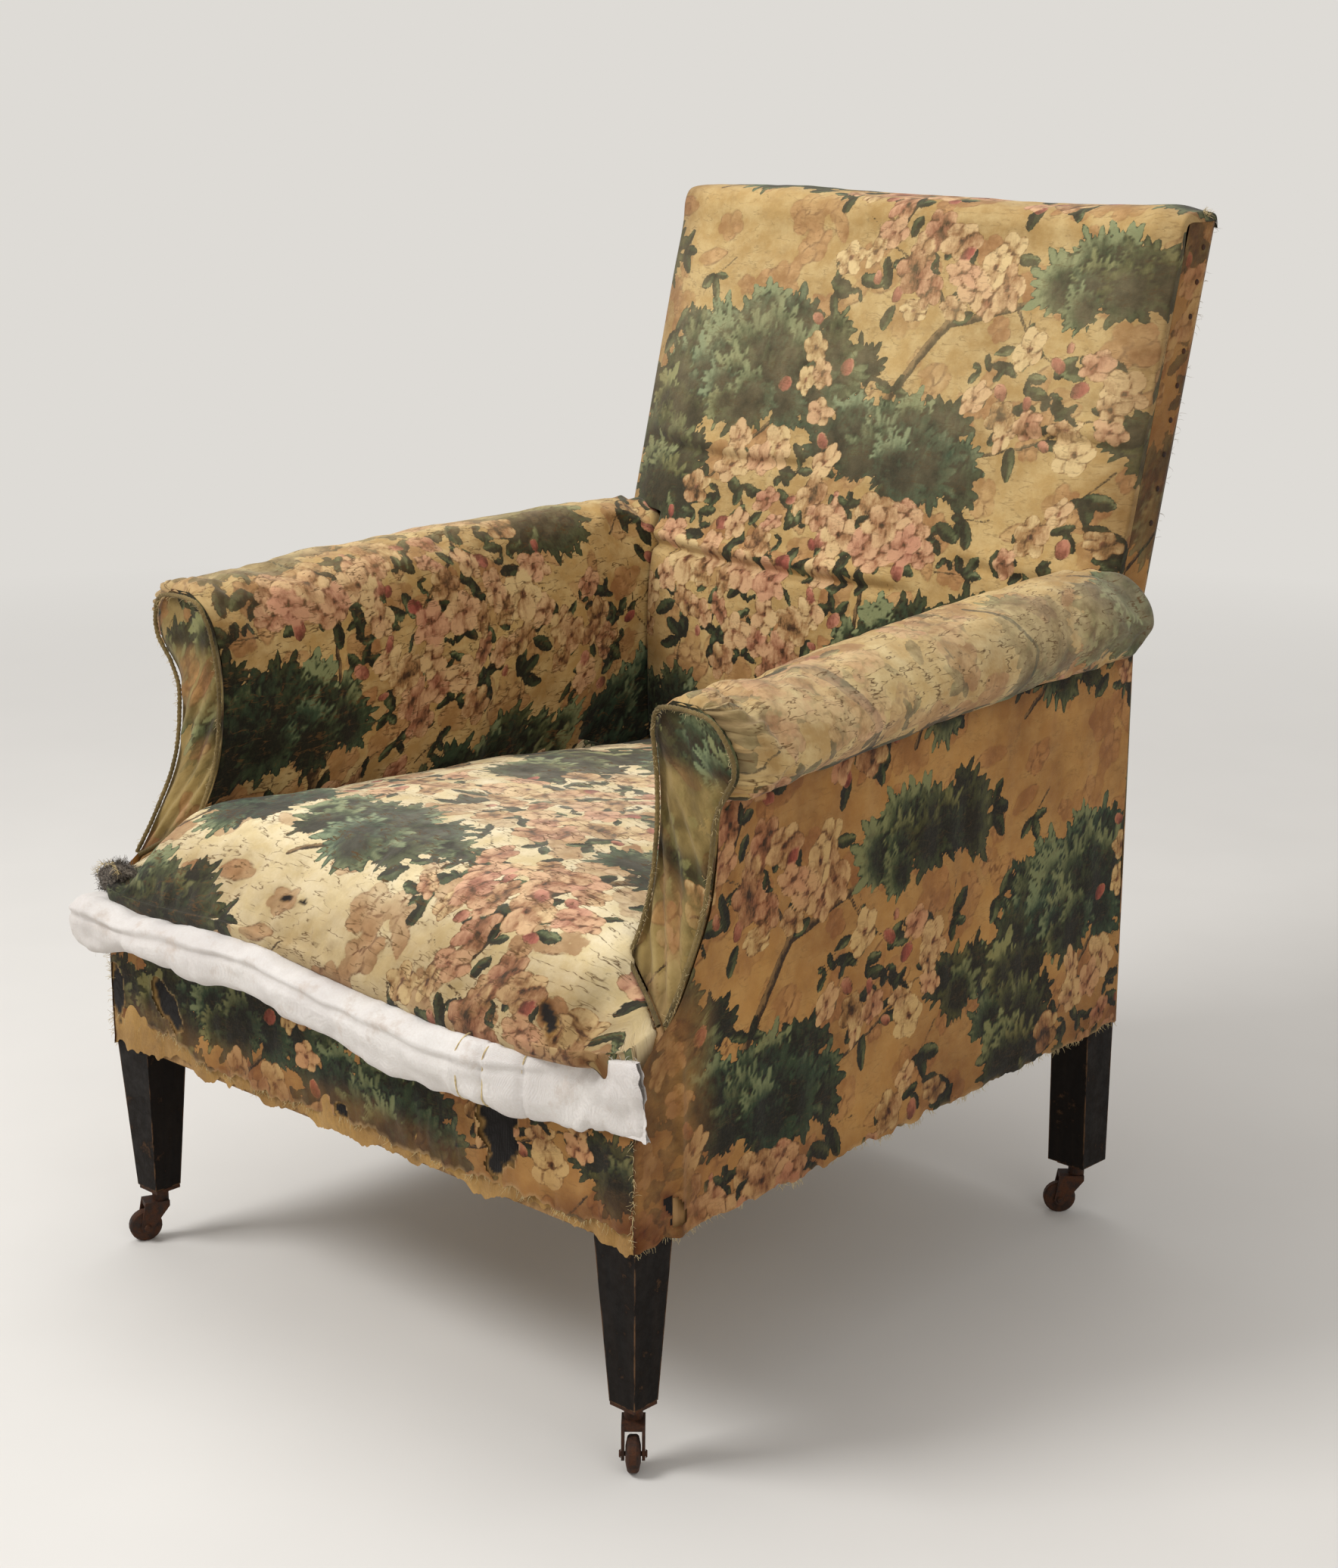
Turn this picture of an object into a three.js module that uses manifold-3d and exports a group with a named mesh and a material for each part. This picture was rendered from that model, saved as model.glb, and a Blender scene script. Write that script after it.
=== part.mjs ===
// A sagging, worn upholstered armchair on four swivelling castors.
// Millimetres, +Z up, front towards -Y. While it is built, y = 0 is the front face of the front legs and
// z = 0 is the floor. At the end the whole chair is moved so that its origin is the middle of its footprint.
import * as THREE from 'three';
import { mergeVertices } from 'three/addons/utils/BufferGeometryUtils.js';
import Module from 'manifold-3d';

const wasm = await Module();
wasm.setup();

// Overall sizes
const frontWidth = 651;
const backWidth = 586;
const frameDepth = 672;
const backHeight = 918;
const coverBottom = 190;
const backBend = 540;
const backRake = THREE.MathUtils.degToRad(14.5);

// Clearances and skins
const gap = 0.3;
const coverThickness = 3;
const tackingGap = 0.6;
const facingBacking = 0.9;

// Wood
const frontLegSize = 43.5;
const legTaper = 7.9;
const postWidth = 40;
const postDepth = 40;
const postFootTaper = 2;
const railThickness = 28;
const railHeight = 76;
const railInset = 0.5;
const armWood = 30;
const armRailHeight = 27;
const armPostDepth = 40;
const tackRailHeight = 30;
const topRailHeight = 52;
const blockReach = 62;

// Arms
const armTopFront = 604;
const armRise = 16;
const rollHeight = 78;
const armThickness = 55;
const armBelly = 2;
const rollOverhangFront = 50;
const rollOverhangRear = 38;
const rollCover = 31;
const armRakeBack = 85;
const armHeadLean = 13;
const facingThickness = 4;
const facingOverlap = 6;
const scrollReach = 27;
const pipingRadius = 3;
const armPadBottom = 352;

// Seat and back
const seatFront = 346;
const seatCrown = 430;
const seatRear = 398;
const seatSideDrop = 42;
const seatFrontDrop = 16;
const noseCornerDrop = 52;
const seatOverhang = 28;
const noseWidth = 662;
const noseDepth = 6;
const backPadThickness = 36;
const backPadBottom = 352;
const backTopPadding = 9;
const borderTop = 300;

// Loose white roll along the seat front
const rollDepth = 50;
const rollTall = 59;
const rollBottom = seatFront - rollTall;
const rollLeftEnd = -336;
const rollRightEnd = 342;

// Springs and webbing
const webbingWidth = 50;
const webbingThickness = 2;
const hessianThickness = 1.5;
const springWire = 4;
const springTopRadius = 44;
const springWaistRadius = 26;
const springTurns = 4;
const springHeight = 126;
const springSideMargin = 108.4;
const springEndMargin = 119.5;

// Castors
const castorHeight = 52.5;
const wheelRadius = 15;
const wheelWidth = 12;
const wheelSides = 24;
const castorTrail = 15;
const plateSize = 26;
const plateThickness = 3;
const pintleRadius = 3;
const pintleClearance = 0.2;
const collarRadius = 7.5;
const bridgeThickness = 5;
const wheelHeadroom = 3.8;
const cheekThickness = 2.5;
const cheekClearance = 0.8;
const cheekRadius = 5.5;
const axleRadius = 2;
const axleClearance = 0.25;
const rivetHeight = 1.5;
const rivetOverlap = 1.5;

// Worked-out lines that several pieces share
const halfWidthAt = (y) => (frontWidth + (backWidth - frontWidth) * (y / frameDepth)) / 2;
const rearFaceAt = (z) => frameDepth + Math.max(0, z - backBend) * Math.tan(backRake);
const postFrontAt = (z) => rearFaceAt(z) - postDepth;
const alongArm = (y) => (y - armRakeBack) / (frameDepth - armRakeBack);
const armTopAt = (y) => armTopFront + armRise * alongArm(y);
const armTopRear = armTopAt(frameDepth);
const creaseAt = (y) => armTopAt(y) - rollHeight;
const overhangAt = (y) => rollOverhangFront + (rollOverhangRear - rollOverhangFront) * alongArm(y);
const armInnerAt = (y) => halfWidthAt(y) - armThickness;
const railTop = coverBottom + railInset + webbingThickness + 2 * gap + railHeight;
const railBottom = railTop - railHeight;
const postOuter = halfWidthAt(frameDepth);

// A smooth curve through a few [place, value] pairs, level beyond its two ends.
function profile(pairs) {
  const slopes = pairs.map((pair, i) => {
    const before = pairs[Math.max(i - 1, 0)];
    const after = pairs[Math.min(i + 1, pairs.length - 1)];
    return (after[1] - before[1]) / (after[0] - before[0]);
  });
  return (place) => {
    if (place <= pairs[0][0]) return pairs[0][1];
    if (place >= pairs.at(-1)[0]) return pairs.at(-1)[1];
    const i = pairs.findIndex((pair) => place < pair[0]) - 1;
    const [start, low] = pairs[i];
    const [end, high] = pairs[i + 1];
    const span = end - start;
    const t = (place - start) / span;
    const rise = (high - low) * t * t * (3 - 2 * t);
    const leave = slopes[i] * span * t * (1 - t) ** 2;
    const arrive = slopes[i + 1] * span * t * t * (t - 1);
    return low + rise + leave + arrive;
  };
}

// The front line of an arm, seen from the side: it leans back above the seat and forward again at the head.
const armFrontAt = profile([
  [coverBottom, 0],
  [seatFront - 12, 0.18 * armRakeBack],
  [seatFront + 34, 0.52 * armRakeBack],
  [seatFront + 90, 0.88 * armRakeBack],
  [seatFront + 140, armRakeBack],
  [creaseAt(armRakeBack) + 10, armRakeBack],
  [armTopFront, armRakeBack - armHeadLean],
]);

// The middle of the seat, from its front lip to the back.
const seatTopAt = profile([
  [-seatOverhang, seatFront + 4],
  [-0.55 * seatOverhang, seatFront + 34],
  [0.4 * seatOverhang, seatCrown - 24],
  [0.1 * frameDepth, seatCrown - 5],
  [0.25 * frameDepth, seatCrown],
  [0.55 * frameDepth, (seatCrown + seatRear) / 2 + 6],
  [postFrontAt(seatRear) - backPadThickness, seatRear],
]);

const mix = (from, to, share) => from + (to - from) * share;
const steps = (from, to, count) => Array.from({ length: count + 1 }, (_, i) => mix(from, to, i / count));
const stepsOf = (size, from, to) => steps(from, to, Math.ceil(Math.abs(to - from) / size));

// A closed body from points and triangles, turned so that its faces point out.
function closedBody(points, faces) {
  const crossed = new THREE.Vector3();
  let volume = 0;
  for (const [a, b, c] of faces) volume += points[a].dot(crossed.crossVectors(points[b], points[c]));
  const index = faces.flatMap(([a, b, c]) => (volume < 0 ? [a, c, b] : [a, b, c]));
  const geometry = new THREE.BufferGeometry().setFromPoints(points);
  geometry.setIndex(index);
  return geometry;
}

// A body between a lower and an upper surface, each given as point(u, v), joined round their rims.
function bodyBetween(us, vs, lower, upper) {
  const columns = us.length;
  const rows = vs.length;
  const points = [lower, upper].flatMap((surface) => vs.flatMap((v) => us.map((u) => surface(u, v))));
  const at = (layer, i, j) => layer * columns * rows + j * columns + i;
  const faces = [];
  const quad = (a, b, c, d) => faces.push([a, b, c], [a, c, d]);
  for (let j = 0; j < rows - 1; j++) {
    for (let i = 0; i < columns - 1; i++) {
      quad(at(1, i, j), at(1, i + 1, j), at(1, i + 1, j + 1), at(1, i, j + 1));
      quad(at(0, i, j), at(0, i, j + 1), at(0, i + 1, j + 1), at(0, i + 1, j));
    }
  }
  for (let i = 0; i < columns - 1; i++) {
    quad(at(0, i, 0), at(0, i + 1, 0), at(1, i + 1, 0), at(1, i, 0));
    quad(at(0, i + 1, rows - 1), at(0, i, rows - 1), at(1, i, rows - 1), at(1, i + 1, rows - 1));
  }
  for (let j = 0; j < rows - 1; j++) {
    quad(at(0, 0, j + 1), at(0, 0, j), at(1, 0, j), at(1, 0, j + 1));
    quad(at(0, columns - 1, j), at(0, columns - 1, j + 1), at(1, columns - 1, j + 1), at(1, columns - 1, j));
  }
  return closedBody(points, faces);
}

// A body through a row of rings, with a cap on the first and the last.
function bodyThroughRings(rings) {
  const sides = rings[0].length;
  const total = (ring) => ring.reduce((sum, point) => sum.add(point), new THREE.Vector3());
  const middle = (ring) => total(ring).divideScalar(sides);
  const points = [...rings.flat(), middle(rings[0]), middle(rings.at(-1))];
  const faces = [];
  for (let i = 0; i < sides; i++) {
    const next = (i + 1) % sides;
    for (let j = 0; j < rings.length - 1; j++) {
      const [a, b] = [j * sides, (j + 1) * sides];
      faces.push([a + i, a + next, b + next], [a + i, b + next, b + i]);
    }
    const last = (rings.length - 1) * sides;
    faces.push([points.length - 2, next, i], [points.length - 1, last + i, last + next]);
  }
  return closedBody(points, faces);
}

// A block with square ends.
function block(x0, x1, y0, y1, z0, z1) {
  const geometry = new THREE.BoxGeometry(x1 - x0, y1 - y0, z1 - z0);
  return geometry.translate((x0 + x1) / 2, (y0 + y1) / 2, (z0 + z1) / 2);
}

// A flat outline of [x, y] pairs raised from z0 to z1.
function prismUp(outline, z0, z1) {
  const shape = new THREE.Shape(outline.map(([x, y]) => new THREE.Vector2(x, y)));
  return new THREE.ExtrudeGeometry(shape, { depth: z1 - z0, bevelEnabled: false }).translate(0, 0, z0);
}

// A side outline of [y, z] pairs carried across from x0 to x1.
function prismAcross(outline, x0, x1) {
  const geometry = prismUp(outline, 0, x1 - x0);
  const sideways = new THREE.Matrix4().makeBasis(
    new THREE.Vector3(0, 1, 0), new THREE.Vector3(0, 0, 1), new THREE.Vector3(1, 0, 0));
  return geometry.applyMatrix4(sideways).translate(x0, 0, 0);
}

const mirrorX = new THREE.Matrix4().makeScale(-1, 1, 1);

// Moves a body whose x counts from the chair's side line onto that line, which narrows towards the back.
function followSide(geometry) {
  const position = geometry.getAttribute('position');
  for (let i = 0; i < position.count; i++) position.setX(i, position.getX(i) + halfWidthAt(position.getY(i)));
  return geometry;
}

// A regular outline with the given number of sides, for wires and cords.
function roundOutline(radius, sides) {
  const angles = steps(0, 2 * Math.PI, sides).slice(1);
  const corner = (angle) => new THREE.Vector2(radius * Math.cos(angle), radius * Math.sin(angle));
  return new THREE.Shape(angles.map(corner));
}

// The same body on the chair's other side. side is 1 for the right and -1 for the left.
function onSide(geometry, side) {
  if (side > 0) return geometry;
  const mirrored = geometry.index ? geometry.toNonIndexed() : geometry.clone();
  mirrored.applyMatrix4(mirrorX);
  const position = mirrored.getAttribute('position');
  const swap = new THREE.Vector3();
  for (let i = 0; i < position.count; i += 3) {
    swap.fromBufferAttribute(position, i + 1);
    position.setXYZ(i + 1, position.getX(i + 2), position.getY(i + 2), position.getZ(i + 2));
    position.setXYZ(i + 2, swap.x, swap.y, swap.z);
  }
  return mirrored;
}

function solid(geometry) {
  const bare = geometry.clone();
  bare.deleteAttribute('normal');
  bare.deleteAttribute('uv');
  const merged = mergeVertices(bare, 1e-4);
  return new wasm.Manifold(new wasm.Mesh({
    numProp: 3,
    vertProperties: merged.getAttribute('position').array,
    triVerts: new Uint32Array(merged.index.array),
  }));
}

function geometryOf(manifold) {
  const { vertProperties, triVerts } = manifold.getMesh();
  const geometry = new THREE.BufferGeometry();
  geometry.setAttribute('position', new THREE.BufferAttribute(vertProperties, 3));
  geometry.setIndex(new THREE.BufferAttribute(triVerts, 1));
  return geometry;
}

const finishes = {
  wood: new THREE.MeshStandardMaterial({ color: 0x2a1d17, roughness: 0.55, metalness: 0 }),
  beech: new THREE.MeshStandardMaterial({ color: 0x9a744a, roughness: 0.75, metalness: 0 }),
  chintz: new THREE.MeshStandardMaterial({ color: 0xcdaa6c, roughness: 0.85, metalness: 0 }),
  calico: new THREE.MeshStandardMaterial({ color: 0xe6e1dd, roughness: 0.95, metalness: 0 }),
  piping: new THREE.MeshStandardMaterial({ color: 0x5b5138, roughness: 0.95, metalness: 0 }),
  jute: new THREE.MeshStandardMaterial({ color: 0x8d7550, roughness: 0.95, metalness: 0 }),
  steel: new THREE.MeshStandardMaterial({ color: 0x5a4a40, roughness: 0.6, metalness: 0.8 }),
  rust: new THREE.MeshStandardMaterial({ color: 0x4b2d20, roughness: 0.8, metalness: 0.5 }),
};

const chair = new THREE.Group();

function add(name, geometry, finish, parent = chair) {
  const mesh = new THREE.Mesh(geometry, finishes[finish]);
  mesh.name = name;
  parent.add(mesh);
}

const sides = [['left', -1], ['right', 1]];

// Front legs: square where the rails join, tapering on all four faces down to the castor.
// The outer face follows the side of the chair.
const legInner = halfWidthAt(0) - frontLegSize;

function legRing(inset, z) {
  const [front, back] = [inset, frontLegSize - inset];
  return [
    [halfWidthAt(front) - inset, front], [halfWidthAt(back) - inset, back],
    [legInner + inset, back], [legInner + inset, front],
  ].map(([x, y]) => new THREE.Vector3(x, y, z));
}

function frontLeg() {
  return bodyThroughRings([legRing(legTaper, castorHeight), legRing(0, coverBottom), legRing(0, railTop)]);
}

// A back leg and its raked upright are one piece of wood.
function backPost() {
  const outline = [
    [frameDepth - postFootTaper, castorHeight],
    [frameDepth, coverBottom],
    [frameDepth, backBend],
    [rearFaceAt(backHeight), backHeight],
    [postFrontAt(backHeight), backHeight],
    [postFrontAt(backBend), backBend],
    [postFrontAt(coverBottom), coverBottom],
    [postFrontAt(castorHeight) + postFootTaper, castorHeight],
  ];
  return prismAcross(outline, postOuter - postWidth, postOuter);
}

for (const [name, side] of sides) {
  add(`front_leg_${name}`, onSide(frontLeg(), side), 'wood');
  add(`back_post_${name}`, onSide(backPost(), side), 'wood');
}

// Seat frame. Its side rails run from the front leg to the back post, following the taper in plan.
const frontRailBack = railInset + railThickness;
const backRailFront = frameDepth - railInset - railThickness;
const postInner = postOuter - postWidth;
const sideRailFront = frontLegSize + gap;
const sideRailRear = postFrontAt(railTop) - gap;
const sideRailInner = (y) => halfWidthAt(y) - railInset - railThickness;
const alongSide = (thickness, y0, y1, z0, z1) =>
  followSide(block(-railInset - thickness, -railInset, y0, y1, z0, z1));

const frontRailHalf = legInner - gap;
const backRailHalf = postInner - gap;
const backRailBack = frameDepth - railInset;
const frontRail = block(-frontRailHalf, frontRailHalf, railInset, frontRailBack, railBottom, railTop);
const backRail = block(-backRailHalf, backRailHalf, backRailFront, backRailBack, railBottom, railTop);
add('front_rail', frontRail, 'beech');
add('back_rail', backRail, 'beech');
for (const [name, side] of sides) {
  const rail = alongSide(railThickness, sideRailFront, sideRailRear, railBottom, railTop);
  add(`side_rail_${name}`, onSide(rail, side), 'beech');
}

// Corner blocks fill each inner corner of the seat frame, behind the leg.
const blockBottom = railBottom + 6;
const blockTop = railTop - 6;

function frontCornerBlock() {
  const start = frontRailBack + gap;
  const behindLeg = frontLegSize + gap;
  const end = behindLeg + blockReach;
  const outline = [
    [legInner - gap - blockReach, start], [legInner - gap, start], [legInner - gap, behindLeg],
    [sideRailInner(behindLeg) - gap, behindLeg], [sideRailInner(end) - gap, end],
  ];
  return prismUp(outline, blockBottom, blockTop);
}

function backCornerBlock() {
  const start = backRailFront - gap;
  const beforePost = postFrontAt(railTop) - gap;
  const end = beforePost - blockReach;
  const outline = [
    [postInner - gap - blockReach, start], [sideRailInner(end) - gap, end],
    [sideRailInner(beforePost) - gap, beforePost], [postInner - gap, beforePost], [postInner - gap, start],
  ];
  return prismUp(outline, blockBottom, blockTop);
}

for (const [name, side] of sides) {
  add(`corner_block_front_${name}`, onSide(frontCornerBlock(), side), 'beech');
  add(`corner_block_back_${name}`, onSide(backCornerBlock(), side), 'beech');
}

// Arm frame: a shaped post behind each facing, a top rail and a lower tacking rail back to the upright.
const armPostFrontAt = (z) => armFrontAt(z) + facingThickness + facingBacking;
const armRailTopAt = (y) => armTopAt(y) - rollCover;
const armPostReach = armRakeBack + facingThickness + facingBacking + armPostDepth;
const armPostTop = Math.min(armRailTopAt(armRakeBack), armRailTopAt(armPostReach)) - armRailHeight - gap;
const armPostBottom = railTop + gap;
const armWoodInner = -railInset - armWood;

function armPost() {
  const heights = stepsOf(14, armPostBottom, armPostTop);
  const front = heights.map((z) => [armPostFrontAt(z), z]).reverse();
  const rear = heights.map((z) => [armPostFrontAt(z) + armPostDepth, z]);
  return followSide(prismAcross([...rear, ...front], armWoodInner, -railInset));
}

function armRail() {
  const front = armPostFrontAt(armPostTop);
  const rear = postFrontAt(armRailTopAt(frameDepth) - armRailHeight) - gap;
  const outline = [
    [front, armRailTopAt(front) - armRailHeight], [rear, armRailTopAt(rear) - armRailHeight],
    [rear, armRailTopAt(rear)], [front, armRailTopAt(front)],
  ];
  return followSide(prismAcross(outline, armWoodInner, -railInset));
}

const tackRailBottom = armPadBottom - 20;
const tackRailTop = tackRailBottom + tackRailHeight;

function armLowerRail() {
  const front = armPostFrontAt(tackRailTop) + armPostDepth + tackingGap;
  const rear = postFrontAt(tackRailTop) - gap;
  return alongSide(armWood, front, rear, tackRailBottom, tackRailTop);
}

for (const [name, side] of sides) {
  add(`arm_post_${name}`, onSide(armPost(), side), 'beech');
  add(`arm_rail_${name}`, onSide(armRail(), side), 'beech');
  add(`arm_lower_rail_${name}`, onSide(armLowerRail(), side), 'beech');
}

// Back frame: a top rail between the uprights, and a lower rail that the back's stuffing is tacked to.
function railBetweenPosts(z0, z1) {
  const outline = [
    [rearFaceAt(z0) - railInset, z0], [rearFaceAt(z1) - railInset, z1],
    [postFrontAt(z1) + railInset, z1], [postFrontAt(z0) + railInset, z0],
  ];
  return prismAcross(outline, -postInner + gap, postInner - gap);
}

add('back_top_rail', railBetweenPosts(backHeight - topRailHeight, backHeight), 'beech');
add('back_lower_rail', railBetweenPosts(backPadBottom, backPadBottom + tackRailHeight), 'beech');

// Webbing: five straps each way, laid over and under one another as one mat below the rails.
const webbingTop = railBottom - gap;
const webbingBottom = webbingTop - webbingThickness;
const springSpacingX = sideRailInner(sideRailRear) - springSideMargin;
const springSpacingY = (backRailFront - frontRailBack) / 2 - springEndMargin;
const springMiddleY = (frontRailBack + backRailFront) / 2;
const springRows = [-1, 0, 1].map((row) => springMiddleY + row * springSpacingY);
const springColumns = [-1, 0, 1].map((column) => column * springSpacingX);
const strapRows = steps(springRows[0], springRows[2], 4);
const strapColumns = steps(springColumns[0], springColumns[2], 4);
const strapEdge = 6;

function webbing() {
  const half = webbingWidth / 2;
  const lengthways = strapColumns.map(
    (x) => solid(block(x - half, x + half, strapEdge, frameDepth - strapEdge, webbingBottom, webbingTop)));
  const across = strapRows.map((y) => {
    const reach = halfWidthAt(y + half) - strapEdge;
    return solid(block(-reach, reach, y - half, y + half, webbingBottom, webbingTop));
  });
  return geometryOf([...lengthways, ...across].reduce((mat, strap) => mat.add(strap)));
}

add('seat_webbing', webbing(), 'jute');

// Springs: nine double-cone coils, wide at both ends and narrow at the waist.
class SpringCurve extends THREE.Curve {
  getPoint(t, target = new THREE.Vector3()) {
    const fromWaist = Math.abs(2 * t - 1);
    const radius = mix(springWaistRadius, springTopRadius, fromWaist ** 1.3);
    const angle = springTurns * 2 * Math.PI * t;
    const height = (springHeight - springWire) * t;
    return target.set(radius * Math.cos(angle), radius * Math.sin(angle), height);
  }
}

function springCoil() {
  return new THREE.ExtrudeGeometry(roundOutline(springWire / 2, 5), {
    steps: 9 * springTurns, extrudePath: new SpringCurve(), bevelEnabled: false,
  });
}

const springFoot = webbingTop + gap + springWire / 2;
const hessianTop = webbingTop + springHeight + 2 * gap + hessianThickness;
const rowNames = ['front', 'middle', 'back'];
const columnNames = ['left', 'centre', 'right'];
springRows.forEach((y, row) => springColumns.forEach((x, column) => {
  const spring = springCoil().translate(x, y, springFoot);
  add(`seat_spring_${rowNames[row]}_${columnNames[column]}`, spring, 'steel');
}));

// Hessian: tacked to the top of the rails all round, and lifted over the springs.
const hessianRim = railTop + gap + hessianThickness;
const hessianFront = frontRailBack - 20;
const hessianBack = backRailFront + 20;
const hessianNotch = postFrontAt(railTop) - 2 * gap;
const hessianTacking = 12;
function hessianSide(y) {
  if (y > hessianNotch) return postInner - 2 * gap;
  return Math.min(sideRailInner(y) + hessianTacking, halfWidthAt(y) + armWoodInner - gap);
}

const plateauX = springColumns[2] + springTopRadius + springWire;
const plateauFront = springRows[0] - springTopRadius - springWire;
const plateauBack = springRows[2] + springTopRadius + springWire;

function hessianTopAt(x, y) {
  const overSide = (hessianSide(y) - Math.abs(x)) / (hessianSide(y) - plateauX);
  const overFront = (y - hessianFront) / (plateauFront - hessianFront);
  const overBack = (hessianBack - y) / (hessianBack - plateauBack);
  const share = THREE.MathUtils.clamp(Math.min(overSide, overFront, overBack), 0, 1);
  return mix(hessianRim, hessianTop, share);
}

const hessianRows = [
  hessianFront, ...steps(plateauFront, plateauBack, 3), hessianNotch, hessianNotch + gap, hessianBack,
];
const hessianColumns = [-1, -plateauX / sideRailInner(frameDepth / 2), -0.35, 0, 0.35,
  plateauX / sideRailInner(frameDepth / 2), 1];

function hessian() {
  const place = (u, y, lift) => {
    const x = Math.abs(u) === 1 ? u * hessianSide(y) : u * sideRailInner(frameDepth / 2);
    return new THREE.Vector3(x, y, hessianTopAt(x, y) + lift);
  };
  return bodyBetween(hessianColumns, hessianRows,
    (u, v) => place(u, v, -hessianThickness), (u, v) => place(u, v, 0));
}

add('seat_hessian', hessian(), 'jute');

// Seat pad: crowned between the arms, with a nose that spreads in front of them and over the white roll.
const backFaceAt = (z) => postFrontAt(z) - backPadThickness - gap;
const seatBack = backFaceAt(seatRear) - 0.7;
const seatBridging = 45;
const seatHalfAt = (y) => (y <= noseDepth ? noseWidth / 2 : armInnerAt(y) - armBelly - tackingGap);
const noseDropAt = profile([
  [0, 0], [0.5 * armInnerAt(0), 0.2 * seatFrontDrop],
  [armInnerAt(0), seatFrontDrop], [noseWidth / 2, noseCornerDrop],
]);
const sideDropAt = profile([[noseDepth, seatFrontDrop], [0.3 * frameDepth, seatSideDrop]]);
const lowestSeatTop = seatFront + 2;

function seatPadTop(u, y) {
  const x = u * seatHalfAt(y);
  const drop = y <= noseDepth ? noseDropAt(Math.abs(x)) : sideDropAt(y) * Math.abs(u) ** 3;
  return new THREE.Vector3(x, y, Math.max(lowestSeatTop, seatTopAt(y) - drop));
}

function seatPadBottom(u, y) {
  const x = u * seatHalfAt(y);
  if (y < 0) return new THREE.Vector3(x, y, seatFront + gap);
  if (y <= noseDepth) return new THREE.Vector3(x, y, Math.max(borderTop, railTop) + 2 * gap);
  const nearX = Math.max(0, Math.abs(x) - seatBridging);
  const nearY = THREE.MathUtils.clamp(springMiddleY, y - seatBridging, y + seatBridging);
  return new THREE.Vector3(x, y, hessianTopAt(nearX, nearY) + 2 * gap);
}

const seatStations = [-seatOverhang, -0.6 * seatOverhang, -1, 0.2, noseDepth, noseDepth + 4, plateauFront,
  ...steps(plateauFront + 60, plateauBack, 6), hessianBack - 60, seatBack]
  .filter((y) => y <= seatBack).sort((a, b) => a - b);

const seatPad = bodyBetween(steps(-1, 1, 16), [...new Set(seatStations)], seatPadBottom, seatPadTop);
add('seat_pad', seatPad, 'chintz');

// Back pad: narrow between the arms, full width above them, and turned over the top rail.
const backPadNarrow = armInnerAt(postFrontAt(backPadBottom)) - 2;
const backPadWide = postOuter + gap + coverThickness;
const shoulderLow = armTopRear + 4;
const backPadHalfAt = (z) => (z < shoulderLow ? backPadNarrow : backPadWide);
const backPadTop = backHeight + backTopPadding;
const backPadEdge = 8;
const backRearEdge = rearFaceAt(backHeight) + gap + coverThickness;

// A station is [height, how far it has turned over the top rail].
function backPadCore(u, [z, over]) {
  const y = mix(postFrontAt(z) - gap, backRearEdge, over);
  return new THREE.Vector3(u * backPadHalfAt(z), y, z);
}

function backPadSkin(u, [z, over]) {
  const round = 1 - Math.abs(u) ** 6;
  const crown = mix(backPadEdge, backPadThickness, round);
  const shoulder = THREE.MathUtils.clamp((backPadTop - z) / 70, 0, 1);
  const depth = mix(0.3 * crown, crown, Math.sqrt(shoulder));
  const y = mix(postFrontAt(z) - gap - depth, backRearEdge, over);
  const height = z > backHeight ? backPadTop - 3 * (1 - round) : z;
  return new THREE.Vector3(u * backPadHalfAt(z), y, height);
}

const backHeights = [...steps(backPadBottom, backBend, 4), ...steps(backBend + 30, shoulderLow - 4, 1),
  shoulderLow, ...steps(shoulderLow + 40, backHeight - 60, 4), backHeight - 30, backHeight - 8];
const turnOver = [0, 0.35, 0.7, 1].map((over) => [backHeight + gap, over]);
const backStations = [...backHeights.map((z) => [z, 0]), ...turnOver];

add('inside_back_pad', bodyBetween(steps(-1, 1, 14), backStations, backPadCore, backPadSkin), 'chintz');

// Arm pads: stuffed inside faces that roll over the arm rail and end in a crease outside it.
// Each station holds [offset from the side line, height] for the wood side and the cloth side.
const insideHeight = armTopFront - rollCover - armPadBottom;
const insideShares = stepsOf(32, 0, insideHeight).map((rise) => rise / insideHeight);

function armSection(y) {
  const top = armTopAt(y);
  const rail = armRailTopAt(y) + tackingGap;
  const crease = creaseAt(y);
  const reach = overhangAt(y);
  const inner = armWoodInner - tackingGap;
  const outer = tackingGap;
  const insideFace = insideShares.map((share) => {
    const belly = -armThickness - armBelly * Math.sin(Math.PI * share);
    return [inner, mix(armPadBottom, rail - 22, share), belly, mix(armPadBottom, top - 42, share)];
  });
  return [
    ...insideFace,
    [inner, rail - 4, -armThickness + 8, top - 16],
    [inner, rail, -armThickness + 26, top - 2],
    [inner + 12, rail, -0.2 * armThickness, top],
    [outer - 6, rail, 0.4 * reach, top - 5],
    [outer, rail, 0.8 * reach, top - 21],
    [outer, rail - 10, reach, top - 42],
    [outer, mix(rail, crease, 0.6), 0.84 * reach, crease + 12],
    [outer, mix(rail, crease, 0.8), 0.5 * reach, crease + 3],
    [outer, crease + 4, 0.12 * reach, crease + 1],
  ];
}

const armStationCount = armSection(0).length;

function armPadPoint(column) {
  return (u, share) => {
    const nominal = mix(armRakeBack, frameDepth - postDepth, share);
    const z = armSection(nominal)[u][column + 1];
    const y = mix(armPostFrontAt(z) + gap, frameDepth - postDepth - tackingGap, share);
    const [offset, height] = armSection(y)[u].slice(column, column + 2);
    return new THREE.Vector3(halfWidthAt(y) + offset, y, height);
  };
}

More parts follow.
